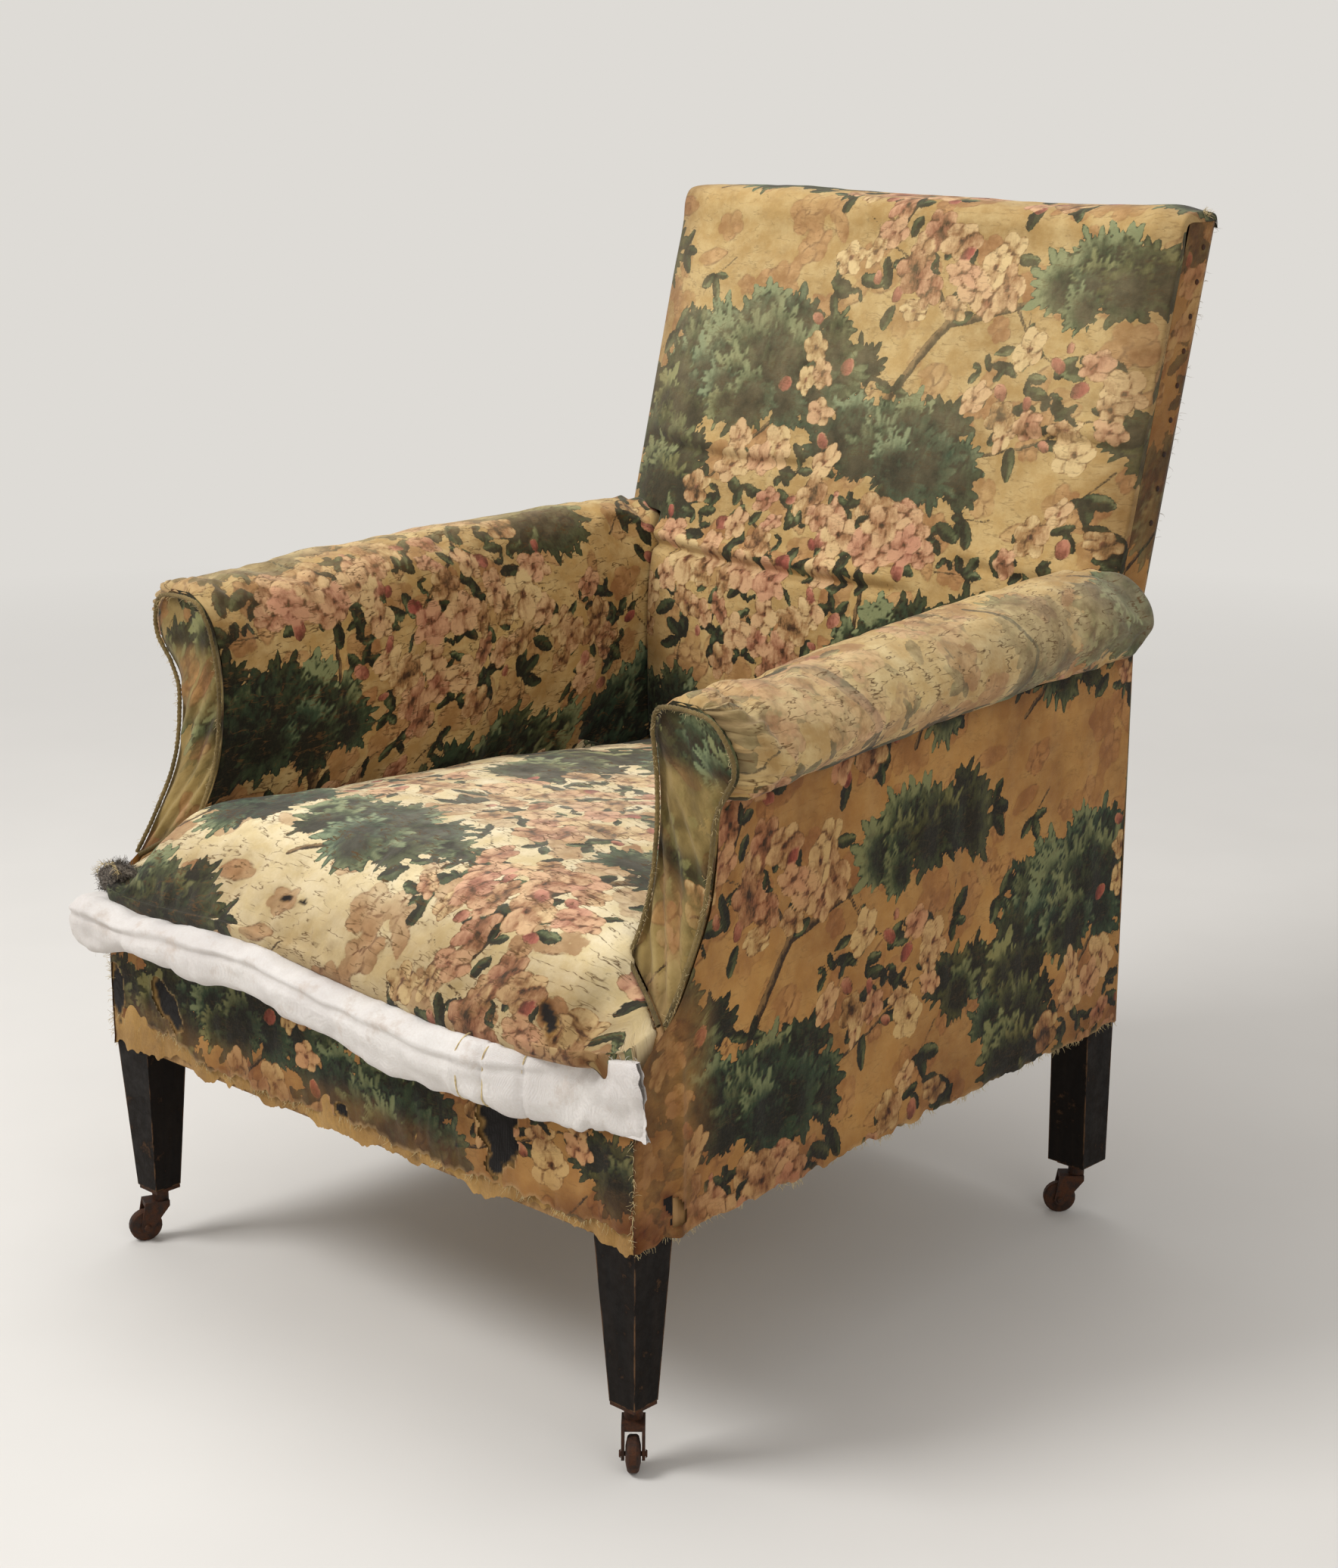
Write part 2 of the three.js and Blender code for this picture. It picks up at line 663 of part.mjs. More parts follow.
const armPad = () => bodyBetween(steps(0, armStationCount - 1, armStationCount - 1), steps(0, 1, 5),
  armPadPoint(0), armPadPoint(2));

// Arm facings: shaped panels on the arm fronts, with a small outward scroll at the head.
const facingTop = armTopFront - 5;
const facingInnerAt = profile([
  [seatFront, -armThickness + 1], [facingTop - 34, -armThickness + 1], [facingTop - 12, -armThickness + 9],
  [facingTop, -armThickness + 25],
]);
const facingOuterAt = profile([
  [seatFront, facingOverlap], [creaseAt(armRakeBack) - 12, facingOverlap],
  [creaseAt(armRakeBack) + 22, scrollReach], [facingTop - 24, scrollReach - 3],
  [facingTop - 8, scrollReach - 18], [facingTop, scrollReach - 32],
]);
const facingBottomAt = (share) => mix(seatFront + 52, seatFront + 12, share);

function facingPoint(setback) {
  return (share, rise) => {
    const z = mix(facingBottomAt(share), facingTop, rise);
    const line = halfWidthAt(armRakeBack);
    const x = line + mix(facingInnerAt(z), facingOuterAt(z), share);
    return new THREE.Vector3(x, armFrontAt(z) + setback, z);
  };
}

const facingRises = stepsOf(13, 0, facingTop - seatFront).map((rise) => rise / (facingTop - seatFront));
const facing = () => bodyBetween(steps(0, 1, 3), facingRises, facingPoint(0), facingPoint(facingThickness));

// Facing piping: one cord up the inner edge, over the head and down the outer edge.
function facingPiping() {
  const clear = facingPoint(-pipingRadius - facingBacking);
  const rises = steps(0.02, 0.97, 8);
  const inner = rises.map((rise) => clear(0.04, rise));
  const outer = rises.map((rise) => clear(0.96, rise)).reverse();
  return new THREE.ExtrudeGeometry(roundOutline(pipingRadius, 6), {
    steps: 40, bevelEnabled: false,
    extrudePath: new THREE.CatmullRomCurve3([...inner, ...outer], false, 'chordal'),
  });
}

// Outside arms: one panel each, from the crease under the roll down to the underside of the rail.
function outsideArm() {
  const place = (rise, share, lift) => {
    const z = mix(coverBottom, creaseAt(mix(0, frameDepth, share)), rise);
    const y = mix(armPostFrontAt(z), rearFaceAt(coverBottom) - gap, share);
    return new THREE.Vector3(halfWidthAt(y) + lift, y, z);
  };
  const height = creaseAt(0) - coverBottom;
  const rises = stepsOf(17, 0, height).map((rise) => rise / height);
  return bodyBetween(rises, [0, 1], (u, v) => place(u, v, gap), (u, v) => place(u, v, gap + coverThickness));
}

for (const [name, side] of sides) {
  add(`arm_pad_${name}`, onSide(armPad(), side), 'chintz');
  add(`arm_facing_${name}`, onSide(facing(), side), 'chintz');
  add(`facing_piping_${name}`, onSide(facingPiping(), side), 'piping');
  add(`outside_arm_${name}`, onSide(outsideArm(), side), 'chintz');
}

// Outside back: one panel down the rear, turned round the sides of the uprights above the arms.
function outsideBack() {
  const place = (u, z, layer) => {
    const lift = gap + layer * coverThickness;
    const flange = z > armTopRear + 8 ? postDepth - 2 * gap : gap / 2;
    const across = [-1, -1, -0.98, 0, 0.98, 1, 1][u] * (postOuter + lift);
    const onSideFace = u === 0 || u === 6;
    const y = rearFaceAt(z) + (onSideFace ? lift - flange : lift);
    return new THREE.Vector3(across, y, z);
  };
  const heights = [coverBottom, ...steps(0.5 * (coverBottom + backBend), backBend, 1), armTopRear + 7,
    armTopRear + 9, backHeight];
  return bodyBetween(steps(0, 6, 6), heights, (u, v) => place(u, v, 0), (u, v) => place(u, v, 1));
}

add('outside_back_panel', outsideBack(), 'chintz');

// Front border, tacked across the front rail and both legs behind the white roll.
const borderHalf = frontWidth / 2 + gap;
add('front_border',
  block(-borderHalf, borderHalf, -gap - coverThickness, -gap, coverBottom, borderTop), 'chintz');

// White calico roll along the front edge of the seat, with a rounded end over the left corner.
function edgeRoll() {
  const backFace = -gap - coverThickness - gap;
  const sizeAt = profile([[0, 0.45], [0.035, 0.9], [0.1, 1], [0.93, 1], [1, 0.8]]);
  const ring = (share) => steps(0, 2 * Math.PI, 14).slice(1).map((angle) => {
    const size = sizeAt(share);
    const y = backFace - (rollDepth / 2) * (1 - size * Math.cos(angle));
    const z = rollBottom + (rollTall / 2) * (1 + size * Math.sin(angle));
    return new THREE.Vector3(mix(rollLeftEnd, rollRightEnd, share), y, z);
  });
  return bodyThroughRings([0, 0.015, 0.04, 0.1, 0.3, 0.5, 0.7, 0.93, 0.975, 1].map(ring));
}

add('edge_roll', edgeRoll(), 'calico');

// Castors. Each is built about its own swivel axis, with the wheel trailing along +X.
const axleHeight = wheelRadius * Math.cos(Math.PI / wheelSides);
const plateTop = castorHeight - gap;
const plateBottom = plateTop - plateThickness;
const collarTop = plateBottom - gap;
const bridgeBottom = 2 * wheelRadius + wheelHeadroom;
const bridgeTop = bridgeBottom + bridgeThickness;
const cheekInner = wheelWidth / 2 + cheekClearance;
const cheekOuter = cheekInner + cheekThickness;
const rivetTop = bridgeBottom - gap;

function upright(radius, z0, z1) {
  const cylinder = new THREE.CylinderGeometry(radius, radius, z1 - z0, 24);
  return cylinder.rotateX(Math.PI / 2).translate(0, 0, (z0 + z1) / 2);
}

function crosswise(radius, halfLength) {
  return new THREE.CylinderGeometry(radius, radius, 2 * halfLength, 16).translate(castorTrail, 0, axleHeight);
}

function castorPlate() {
  const half = plateSize / 2;
  const plate = solid(block(-half, half, -half, half, plateBottom, plateTop));
  const pintle = solid(upright(pintleRadius, rivetTop - rivetHeight / 2, plateBottom + 1));
  const rivet = solid(upright(pintleRadius + rivetOverlap, rivetTop - rivetHeight, rivetTop));
  return geometryOf(plate.add(pintle).add(rivet));
}

function castorHorn() {
  const outline = new THREE.Shape();
  outline.moveTo(-collarRadius + 1, bridgeTop);
  outline.lineTo(-collarRadius + 1, bridgeBottom);
  outline.lineTo(castorTrail - cheekRadius, axleHeight - 1);
  outline.absarc(castorTrail, axleHeight, cheekRadius, Math.PI, 2 * Math.PI);
  outline.lineTo(castorTrail + 1, bridgeTop);
  const cheek = (y0) => solid(new THREE.ExtrudeGeometry(outline, {
    depth: cheekThickness, bevelEnabled: false, curveSegments: 10,
  }).rotateX(Math.PI / 2).translate(0, y0 + cheekThickness, 0));
  const bridgeHalf = cheekOuter - 0.2;
  const bridge = solid(
    block(1 - collarRadius, castorTrail + 1, -bridgeHalf, bridgeHalf, bridgeBottom, bridgeTop));
  const collar = solid(upright(collarRadius, bridgeTop - 1, collarTop));
  const bore = solid(upright(pintleRadius + pintleClearance, bridgeBottom - 1, collarTop + 1));
  const axleHole = solid(crosswise(axleRadius + axleClearance, cheekOuter + 1));
  const body = bridge.add(collar).add(cheek(cheekInner)).add(cheek(-cheekOuter));
  return geometryOf(body.subtract(bore).subtract(axleHole));
}

function castorAxle() {
  const head = cheekOuter + gap;
  const profilePoints = [
    [0, -head - rivetHeight], [axleRadius + 0.6, -head - rivetHeight], [axleRadius + rivetOverlap, -head],
    [axleRadius, -head], [axleRadius, head], [axleRadius + rivetOverlap, head],
    [axleRadius + 0.6, head + rivetHeight], [0, head + rivetHeight],
  ].map(([radius, along]) => new THREE.Vector2(radius, along));
  return new THREE.LatheGeometry(profilePoints, 16).translate(castorTrail, 0, axleHeight);
}

function castorWheel() {
  const half = wheelWidth / 2;
  const bore = axleRadius + axleClearance;
  const profilePoints = [
    [bore, -half], [0.45 * wheelRadius, -half], [0.9 * wheelRadius, -half + 1.5], [wheelRadius, -half + 3.2],
    [wheelRadius, half - 3.2], [0.9 * wheelRadius, half - 1.5], [0.45 * wheelRadius, half], [bore, half],
    [bore, -half],
  ].map(([radius, along]) => new THREE.Vector2(radius, along));
  const wheel = new THREE.LatheGeometry(profilePoints, wheelSides).rotateY(Math.PI / wheelSides);
  return wheel.translate(castorTrail, 0, axleHeight);
}

// Where each castor stands, and the way its wheel trails.
const frontFoot = halfWidthAt(frontLegSize / 2) - frontLegSize / 2;
const backFoot = postOuter - postWidth / 2;
const castors = [
  ['front_right', frontFoot, frontLegSize / 2, -47],
  ['front_left', -frontFoot, frontLegSize / 2, -114],
  ['back_right', backFoot, frameDepth - postDepth / 2, -137],
  ['back_left', -backFoot, frameDepth - postDepth / 2, 118],
];
for (const [name, x, y, heading] of castors) {
  const place = new THREE.Group();
  place.position.set(x, y, 0);
  chair.add(place);
  add(`castor_plate_${name}`, castorPlate(), 'rust', place);
  const swivel = new THREE.Group();
  swivel.rotation.z = THREE.MathUtils.degToRad(heading);
  place.add(swivel);
  add(`castor_horn_${name}`, castorHorn(), 'rust', swivel);
  add(`castor_axle_${name}`, castorAxle(), 'rust', swivel);
  add(`castor_wheel_${name}`, castorWheel(), 'rust', swivel);
}

// The origin is the middle of the chair's footprint, on the floor.
chair.updateMatrixWorld(true);
const footprint = new THREE.Box3().setFromObject(chair, true).getCenter(new THREE.Vector3());
chair.position.set(-footprint.x, -footprint.y, 0);

export default chair;
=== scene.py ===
"""The looks of a worn rolled-arm easy chair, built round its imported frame. Units are metres.

Shapes are written in the chair's own places: x across, y back from the front face of the front legs, z up.
`place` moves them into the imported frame. A cloth surface is a grid of points, with u to the right and v up as
one faces it. It has its own flat coordinates, which place the print, the weave and the wear.
"""

import math

import bpy
import numpy as np
from mathutils import Matrix, Vector


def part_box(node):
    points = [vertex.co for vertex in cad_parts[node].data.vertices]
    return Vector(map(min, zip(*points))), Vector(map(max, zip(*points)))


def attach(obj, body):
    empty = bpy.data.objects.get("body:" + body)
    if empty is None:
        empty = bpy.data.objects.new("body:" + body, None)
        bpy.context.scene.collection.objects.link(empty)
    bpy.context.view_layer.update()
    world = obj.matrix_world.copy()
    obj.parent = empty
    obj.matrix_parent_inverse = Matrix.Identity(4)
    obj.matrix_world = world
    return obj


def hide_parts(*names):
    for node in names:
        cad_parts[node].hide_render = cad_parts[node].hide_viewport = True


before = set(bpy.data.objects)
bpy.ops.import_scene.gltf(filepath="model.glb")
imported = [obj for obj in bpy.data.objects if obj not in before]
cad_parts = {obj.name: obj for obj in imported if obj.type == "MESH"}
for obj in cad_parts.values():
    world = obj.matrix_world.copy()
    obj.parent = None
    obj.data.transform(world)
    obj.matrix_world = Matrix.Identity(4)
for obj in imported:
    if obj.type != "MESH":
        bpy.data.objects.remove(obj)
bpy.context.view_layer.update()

CHAIR = "chair"
MM = 0.001

# Driving dimensions, read from the frame where it has them, and otherwise those that the frame was drawn from
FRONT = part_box("front_leg_right")[0].y
HALF_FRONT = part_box("front_leg_right")[1].x
HALF_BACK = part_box("back_post_right")[1].x
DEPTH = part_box("back_rail")[1].y - FRONT + 0.5 * MM
BACK_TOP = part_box("back_post_right")[1].z
COVER_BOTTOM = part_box("outside_arm_right")[0].z
BORDER_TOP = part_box("front_border")[1].z
ROLL_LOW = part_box("edge_roll")[0]
ROLL_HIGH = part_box("edge_roll")[1]
BACK_BEND = 0.540
BACK_RAKE = math.radians(14.5)
POST_DEPTH = 0.040
ARM_TOP = 0.604
ARM_RISE = 0.016
ARM_RAKE = 0.085
ARM_THICK = 0.055
ROLL_HEIGHT = 0.078
OVERHANG_FRONT = 0.050
OVERHANG_REAR = 0.038
SEAT_FRONT = 0.346
SEAT_CROWN = 0.430
SEAT_REAR = 0.398
BACK_CROWN = 0.036
BACK_EDGE = 0.008
SIDES = (("left", -1), ("right", 1))
# Where the covers end: an arm's inside face, a facing's slanting foot from its inner to its outer side, a
# facing's top, the back's rolled top, and how far behind a facing's front line the arm's covers start
ARM_REAR = 0.6314
FACING_FOOT = (SEAT_FRONT + 0.052, SEAT_FRONT + 0.012)
FACING_TOP = ARM_TOP - 0.005
CROWN_TOP = BACK_TOP + 0.009
BEHIND_FACING = 0.0042
# Spacings of the covers' grids
SPACING = 2.8 * MM
FINE = 2.5 * MM


def count(length, spacing=SPACING):
    """How many points a spacing puts along a length."""
    return max(2, int(round(length / spacing)) + 1)


def mix(a, b, share):
    return a + (b - a) * share


def smoothstep(low, high, value):
    share = np.clip((value - low) / (high - low), 0, 1)
    return share * share * (3 - 2 * share)


def hump(value, middle, width):
    """A smooth bump of height 1 about a middle."""
    return np.exp(-(((value - middle) / width) ** 2))


def profile(pairs):
    """A smooth curve through a few (place, value) pairs, level beyond its two ends."""
    places, values = np.array(pairs, float).T
    before = np.maximum(np.arange(len(places)) - 1, 0)
    after = np.minimum(np.arange(len(places)) + 1, len(places) - 1)
    slopes = (values[after] - values[before]) / (places[after] - places[before])

    def at(place):
        inside = np.clip(place, places[0], places[-1])
        i = np.clip(np.searchsorted(places, inside, "right") - 1, 0, len(places) - 2)
        span = places[i + 1] - places[i]
        t = (inside - places[i]) / span
        value = mix(values[i], values[i + 1], t * t * (3 - 2 * t))
        value += slopes[i] * span * t * (1 - t) ** 2
        return value + slopes[i + 1] * span * t * t * (t - 1)

    return at


def noise(u, v, scale, seed):
    """Smooth noise from -1 to 1 over (u, v), the same on each run."""
    a, b = u / scale + 17.3 * seed, v / scale - 9.1 * seed
    i, j = np.floor(a), np.floor(b)
    f, g = a - i, b - j
    f, g = f * f * (3 - 2 * f), g * g * (3 - 2 * g)

    def corner(p, q):
        value = np.sin(p * 127.1 + q * 311.7 + seed * 74.7) * 43758.5453
        return 2 * (value - np.floor(value)) - 1

    low = mix(corner(i, j), corner(i + 1, j), f)
    high = mix(corner(i, j + 1), corner(i + 1, j + 1), f)
    return mix(low, high, g)


def rough(u, v, scale, seed):
    """Noise with two finer layers of noise on it."""
    return sum(noise(u, v, scale / 2**k, seed + 5 * k) / 2**k for k in range(3))


# The chair's shared lines, as in its frame
def half_width(y):
    return HALF_FRONT + (HALF_BACK - HALF_FRONT) * y / DEPTH


def rear_face(z):
    return DEPTH + np.maximum(0, z - BACK_BEND) * math.tan(BACK_RAKE)


def post_front(z):
    return rear_face(z) - POST_DEPTH


def along_arm(y):
    return (y - ARM_RAKE) / (DEPTH - ARM_RAKE)


def arm_top(y):
    return ARM_TOP + ARM_RISE * along_arm(y)


def crease(y):
    return arm_top(y) - ROLL_HEIGHT


def overhang(y):
    return mix(OVERHANG_FRONT, OVERHANG_REAR, along_arm(y))


def arm_inner(y):
    return half_width(y) - ARM_THICK


arm_front = profile([
    (COVER_BOTTOM, 0), (SEAT_FRONT - 0.012, 0.18 * ARM_RAKE), (SEAT_FRONT + 0.034, 0.52 * ARM_RAKE),
    (SEAT_FRONT + 0.090, 0.88 * ARM_RAKE), (SEAT_FRONT + 0.140, ARM_RAKE),
    (crease(ARM_RAKE) + 0.010, ARM_RAKE), (ARM_TOP, ARM_RAKE - 0.013),
])
seat_top = profile([
    (-0.028, SEAT_FRONT + 0.004), (-0.0154, SEAT_FRONT + 0.034), (0.0112, SEAT_CROWN - 0.024),
    (0.0672, SEAT_CROWN - 0.005), (0.168, SEAT_CROWN), (0.3696, 0.420), (0.596, SEAT_REAR),
])


# The loose calico roll's wavy top and bottom, along the seat front
roll_top = profile([
    (-0.336, 0.346), (-0.305, 0.342), (-0.240, 0.3385), (-0.175, 0.342), (-0.110, 0.347), (-0.045, 0.345),
    (0.020, 0.340), (0.085, 0.336), (0.150, 0.332), (0.215, 0.334), (0.280, 0.339), (0.342, 0.347),
])
roll_bottom = profile([
    (-0.336, 0.290), (-0.280, 0.296), (-0.190, 0.303), (-0.100, 0.302), (-0.012, 0.293), (0.078, 0.283),
    (0.167, 0.281), (0.257, 0.282), (0.342, 0.286),
])


# Grids and meshes
def cubic_rows(control, t):
    """Rows at places t, counted in rows, on smooth curves through the rows of control points."""
    first = 2 * control[:1] - control[1:2]
    last = 2 * control[-1:] - control[-2:-1]
    padded = np.concatenate([first, control, last])
    i = np.minimum(t.astype(int), len(control) - 2)
    f = (t - i)[:, None, None]
    p0, p1, p2, p3 = (padded[i + k] for k in range(4))
    cubic = (2 * p1) + (p2 - p0) * f + (2 * p0 - 5 * p1 + 4 * p2 - p3) * f**2
    return 0.5 * (cubic + (3 * p1 - p0 - 3 * p2 + p3) * f**3)


def smooth_rows(control, rows):
    """Smooth curves through the rows of control points, as so many rows spaced evenly along them."""
    fine = cubic_rows(control, np.linspace(0, len(control) - 1, 24 * (len(control) - 1) + 1))
    lengths = np.linalg.norm(np.diff(fine, axis=0), axis=2).mean(1)
    along = np.concatenate([[0], np.cumsum(lengths)])
    want = np.linspace(0, along[-1], rows)
    j = np.clip(np.searchsorted(along, want) - 1, 0, len(along) - 2)
    g = ((want - along[j]) / (along[j + 1] - along[j]))[:, None, None]
    return mix(fine[j], fine[j + 1], g)


def run_lengths(points, axis):
    """How far along its row or column each point of a grid is, in metres."""
    steps = np.linalg.norm(np.diff(points, axis=axis), axis=2)
    zero = np.zeros_like(np.take(steps, [0], axis=axis))
    return np.cumsum(np.concatenate([zero, steps], axis=axis), axis=axis)


def normals(points):
    across = np.gradient(points, axis=1)
    up = np.gradient(points, axis=0)
    normal = np.cross(across, up)
    return normal / np.maximum(np.linalg.norm(normal, axis=2, keepdims=True), 1e-12)


def push(points, amount):
    """Moves each point of a grid out along its normal."""
    return points + normals(points) * np.asarray(amount)[..., None]


def settle(points, held, pressure, slack, cap):
    """How far each point of a grid moves when Blender's Cloth swells a coarser one, held where told to."""
    rows, columns = (np.unique(np.append(np.arange(0, size, 4), size - 1)) for size in points.shape[:2])
    coarse = points[np.ix_(rows, columns)]
    still = held[np.ix_(rows, columns)].ravel()
    piece = make_mesh("settling", coarse.reshape(-1, 3), grid_quads(len(rows), len(columns)), {}, calico)
    group = piece.vertex_groups.new(name="held")
    group.add([int(i) for i in np.flatnonzero(still)], 1.0, "REPLACE")
    settings = piece.modifiers.new("cloth", "CLOTH").settings
    settings.vertex_group_mass = "held"
    settings.quality = 6
    settings.mass = 0.25
    settings.tension_stiffness = 25
    settings.compression_stiffness = 25
    settings.bending_stiffness = 0.6
    settings.shrink_min = -slack
    settings.use_pressure = True
    settings.uniform_pressure_force = pressure
    settings.effector_weights.gravity = 0
    scene = bpy.context.scene
    for number in range(1, 21):
        scene.frame_set(number)
    shape = piece.evaluated_get(bpy.context.evaluated_depsgraph_get()).data
    settled = np.zeros(len(shape.vertices) * 3, np.float32)
    shape.vertices.foreach_get("co", settled)
    moved = settled.reshape(coarse.shape) - coarse
    far = np.linalg.norm(moved, axis=2, keepdims=True)
    moved = moved * np.minimum(1, cap / np.maximum(far, 1e-9)) * ~still.reshape(far.shape)
    scene.frame_set(1)
    bpy.data.objects.remove(piece)
    fine = cubic_rows(moved, np.interp(np.arange(points.shape[0]), rows, np.arange(len(rows))))
    places = np.interp(np.arange(points.shape[1]), columns, np.arange(len(columns)))
    return cubic_rows(fine.swapaxes(0, 1), places).swapaxes(0, 1)


def place(points):
    """Moves points from the chair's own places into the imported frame."""
    return points + np.array([0, FRONT, 0])


def grid_quads(rows, columns):
    """The faces of a grid of points, as rows of four indices."""
    index = np.arange(rows * columns).reshape(rows, columns)
    corners = index[:-1, :-1], index[:-1, 1:], index[1:, 1:], index[1:, :-1]
    return np.stack([c.ravel() for c in corners], axis=1)


def make_mesh(name, points, faces, attributes, material):
    """An object from points, faces of one size, and named point attributes."""
    mesh = bpy.data.meshes.new(name)
    faces = np.asarray(faces, np.int32)
    size = faces.shape[1]
    mesh.vertices.add(len(points))
    mesh.vertices.foreach_set("co", np.asarray(points, np.float32).ravel())
    mesh.loops.add(faces.size)
    mesh.loops.foreach_set("vertex_index", faces.ravel())
    mesh.polygons.add(len(faces))
    mesh.polygons.foreach_set("loop_start", np.arange(0, faces.size, size, dtype=np.int32))
    mesh.polygons.foreach_set("loop_total", np.full(len(faces), size, np.int32))
    mesh.polygons.foreach_set("use_smooth", np.ones(len(faces), bool))
    mesh.update(calc_edges=True)
    mesh.validate()
    for key, values in attributes.items():
        kind, field = ("FLOAT_COLOR", "color") if values.shape[1] == 4 else ("FLOAT_VECTOR", "vector")
        layer = mesh.attributes.new(key, kind, "POINT")
        layer.data.foreach_set(field, np.asarray(values, np.float32).ravel())
    piece = bpy.data.objects.new(name, mesh)
    bpy.context.scene.collection.objects.link(piece)
    mesh.materials.append(material)
    return piece


def ring_faces(start, rings, around):
    """Faces that join rings of points, each ring's points straight after those of the ring before it."""
    faces = []
    for k in range(rings):
        for j in range(around):
            a, b = start + k * around + j, start + k * around + (j + 1) % around
            faces.append((a, b, b + around, a + around))
    return faces


def finish_piece(piece, slot, *nodes):
    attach(piece, CHAIR)
    if nodes:
        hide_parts(*nodes)
    return piece


def plain_piece(name, points, faces, material, slot, *nodes):
    return finish_piece(make_mesh(name, place(points), faces, {}, material), slot, *nodes)


def wear_and_painted_light_marks(shape, dirt_and_shade=0.0, fade_and_highlight=0.0, dark=0.0, rub=0.0):
    """What is painted on the cloth at each point: dirt with painted shade, fading with painted highlight,
    painted deep shade in holes and at corners, and print rubbed off.
    """
    return np.stack([np.broadcast_to(kind, shape) for kind in (dirt_and_shade, fade_and_highlight, dark, rub)], axis=2)


def turned_out(flip, *grids):
    """Grids with their columns in the order that makes their faces look outward."""
    return [grid[:, ::-1] if flip else grid for grid in grids]


def cloth_piece(name, points, cloth, material, slot, *nodes, keep=None, wear=None, printed=True):
    """A cloth surface from a grid of points and its flat coordinates. Keep marks the points that stay."""
    rows, columns = points.shape[:2]
    quads = grid_quads(rows, columns)
    flat = points.reshape(-1, 3)
    uv = cloth.reshape(-1, 2)
    a, b, c, d = (flat[quads[:, k]] for k in range(4))
    area = np.linalg.norm(np.cross(c - a, d - b), axis=1)
    quads = quads[area > 1e-9]
    if keep is not None:
        quads = quads[keep.ravel()[quads].all(axis=1)]
    used, quads = np.unique(quads, return_inverse=True)
    quads = quads.reshape(-1, 4)
    flat, uv = flat[used], uv[used]
    marks = np.zeros((len(used), 4)) if wear is None else wear.reshape(-1, 4)[used]
    attributes = {"cloth": np.column_stack([uv, np.zeros(len(uv))]), "wear": marks}
    if printed:
        attributes.update(print_marks(uv[:, 0], uv[:, 1]))
    return finish_piece(make_mesh(name, place(flat), quads, attributes, material), slot, *nodes)


# The print: a chintz of foliage pads, blossom, buds and twigs that repeats across the cloth
REPEAT_WIDE = 0.640
REPEAT_TALL = 0.600
PETALS = 5
GOLDEN = 2.399963  # the golden angle, which spreads shapes evenly over an oval
LIGHTS = [0.40, 0.70, 1.00, 1.30]
BLOOM_LIGHTS = [-0.30, -0.12, 0.02, 0.12]


def turned(du, dv, angle):
    """Places seen from axes turned by an angle."""
    c, s = math.cos(angle), math.sin(angle)
    return c * du + s * dv, c * dv - s * du


def oval(du, dv, angle, radius, slim, sharp=1.0):
    """An oval or a pointed lens: how deep inside it a point is, and how far along and across it."""
    x, y = turned(du, dv, angle)
    half = radius * slim
    along = np.clip(x / radius, -1, 1)
    edge = half * (1 - along**2) ** (0.5 * sharp)
    return np.minimum(edge - np.abs(y), (radius - np.abs(x)) * 1.5), along, y / half


def tuft(du, dv, angle, radius, leaflets, seed):
    """One fan of leaflets: depth inside its toothed outline, distance from its root, leaflets' shading."""
    x, y = turned(du, dv, angle - math.pi / 2)
    y = y + 0.45 * radius
    r = np.hypot(x, y)
    theta = np.arctan2(x, y)
    leaflet = theta * leaflets / 2.5
    middle = np.floor(leaflet + 0.5)
    off = np.abs(leaflet - middle) * 2
    longest = 1.45 * radius
    far = r / longest
    reach = longest * (0.84 + 0.16 * np.sin(middle * 2.4 + seed * 1.7))
    reach = reach * (0.80 + 0.20 * (1 - off**1.6)) * (1 - 0.45 * smoothstep(0.7, 1.75, np.abs(theta)))
    gaps = 0.45 * smoothstep(0.5, 1.0, off) * smoothstep(0.35, 0.75, far)
    return reach - r, far, 1 - gaps + 0.10 * np.sin(middle * 3.1 + seed)


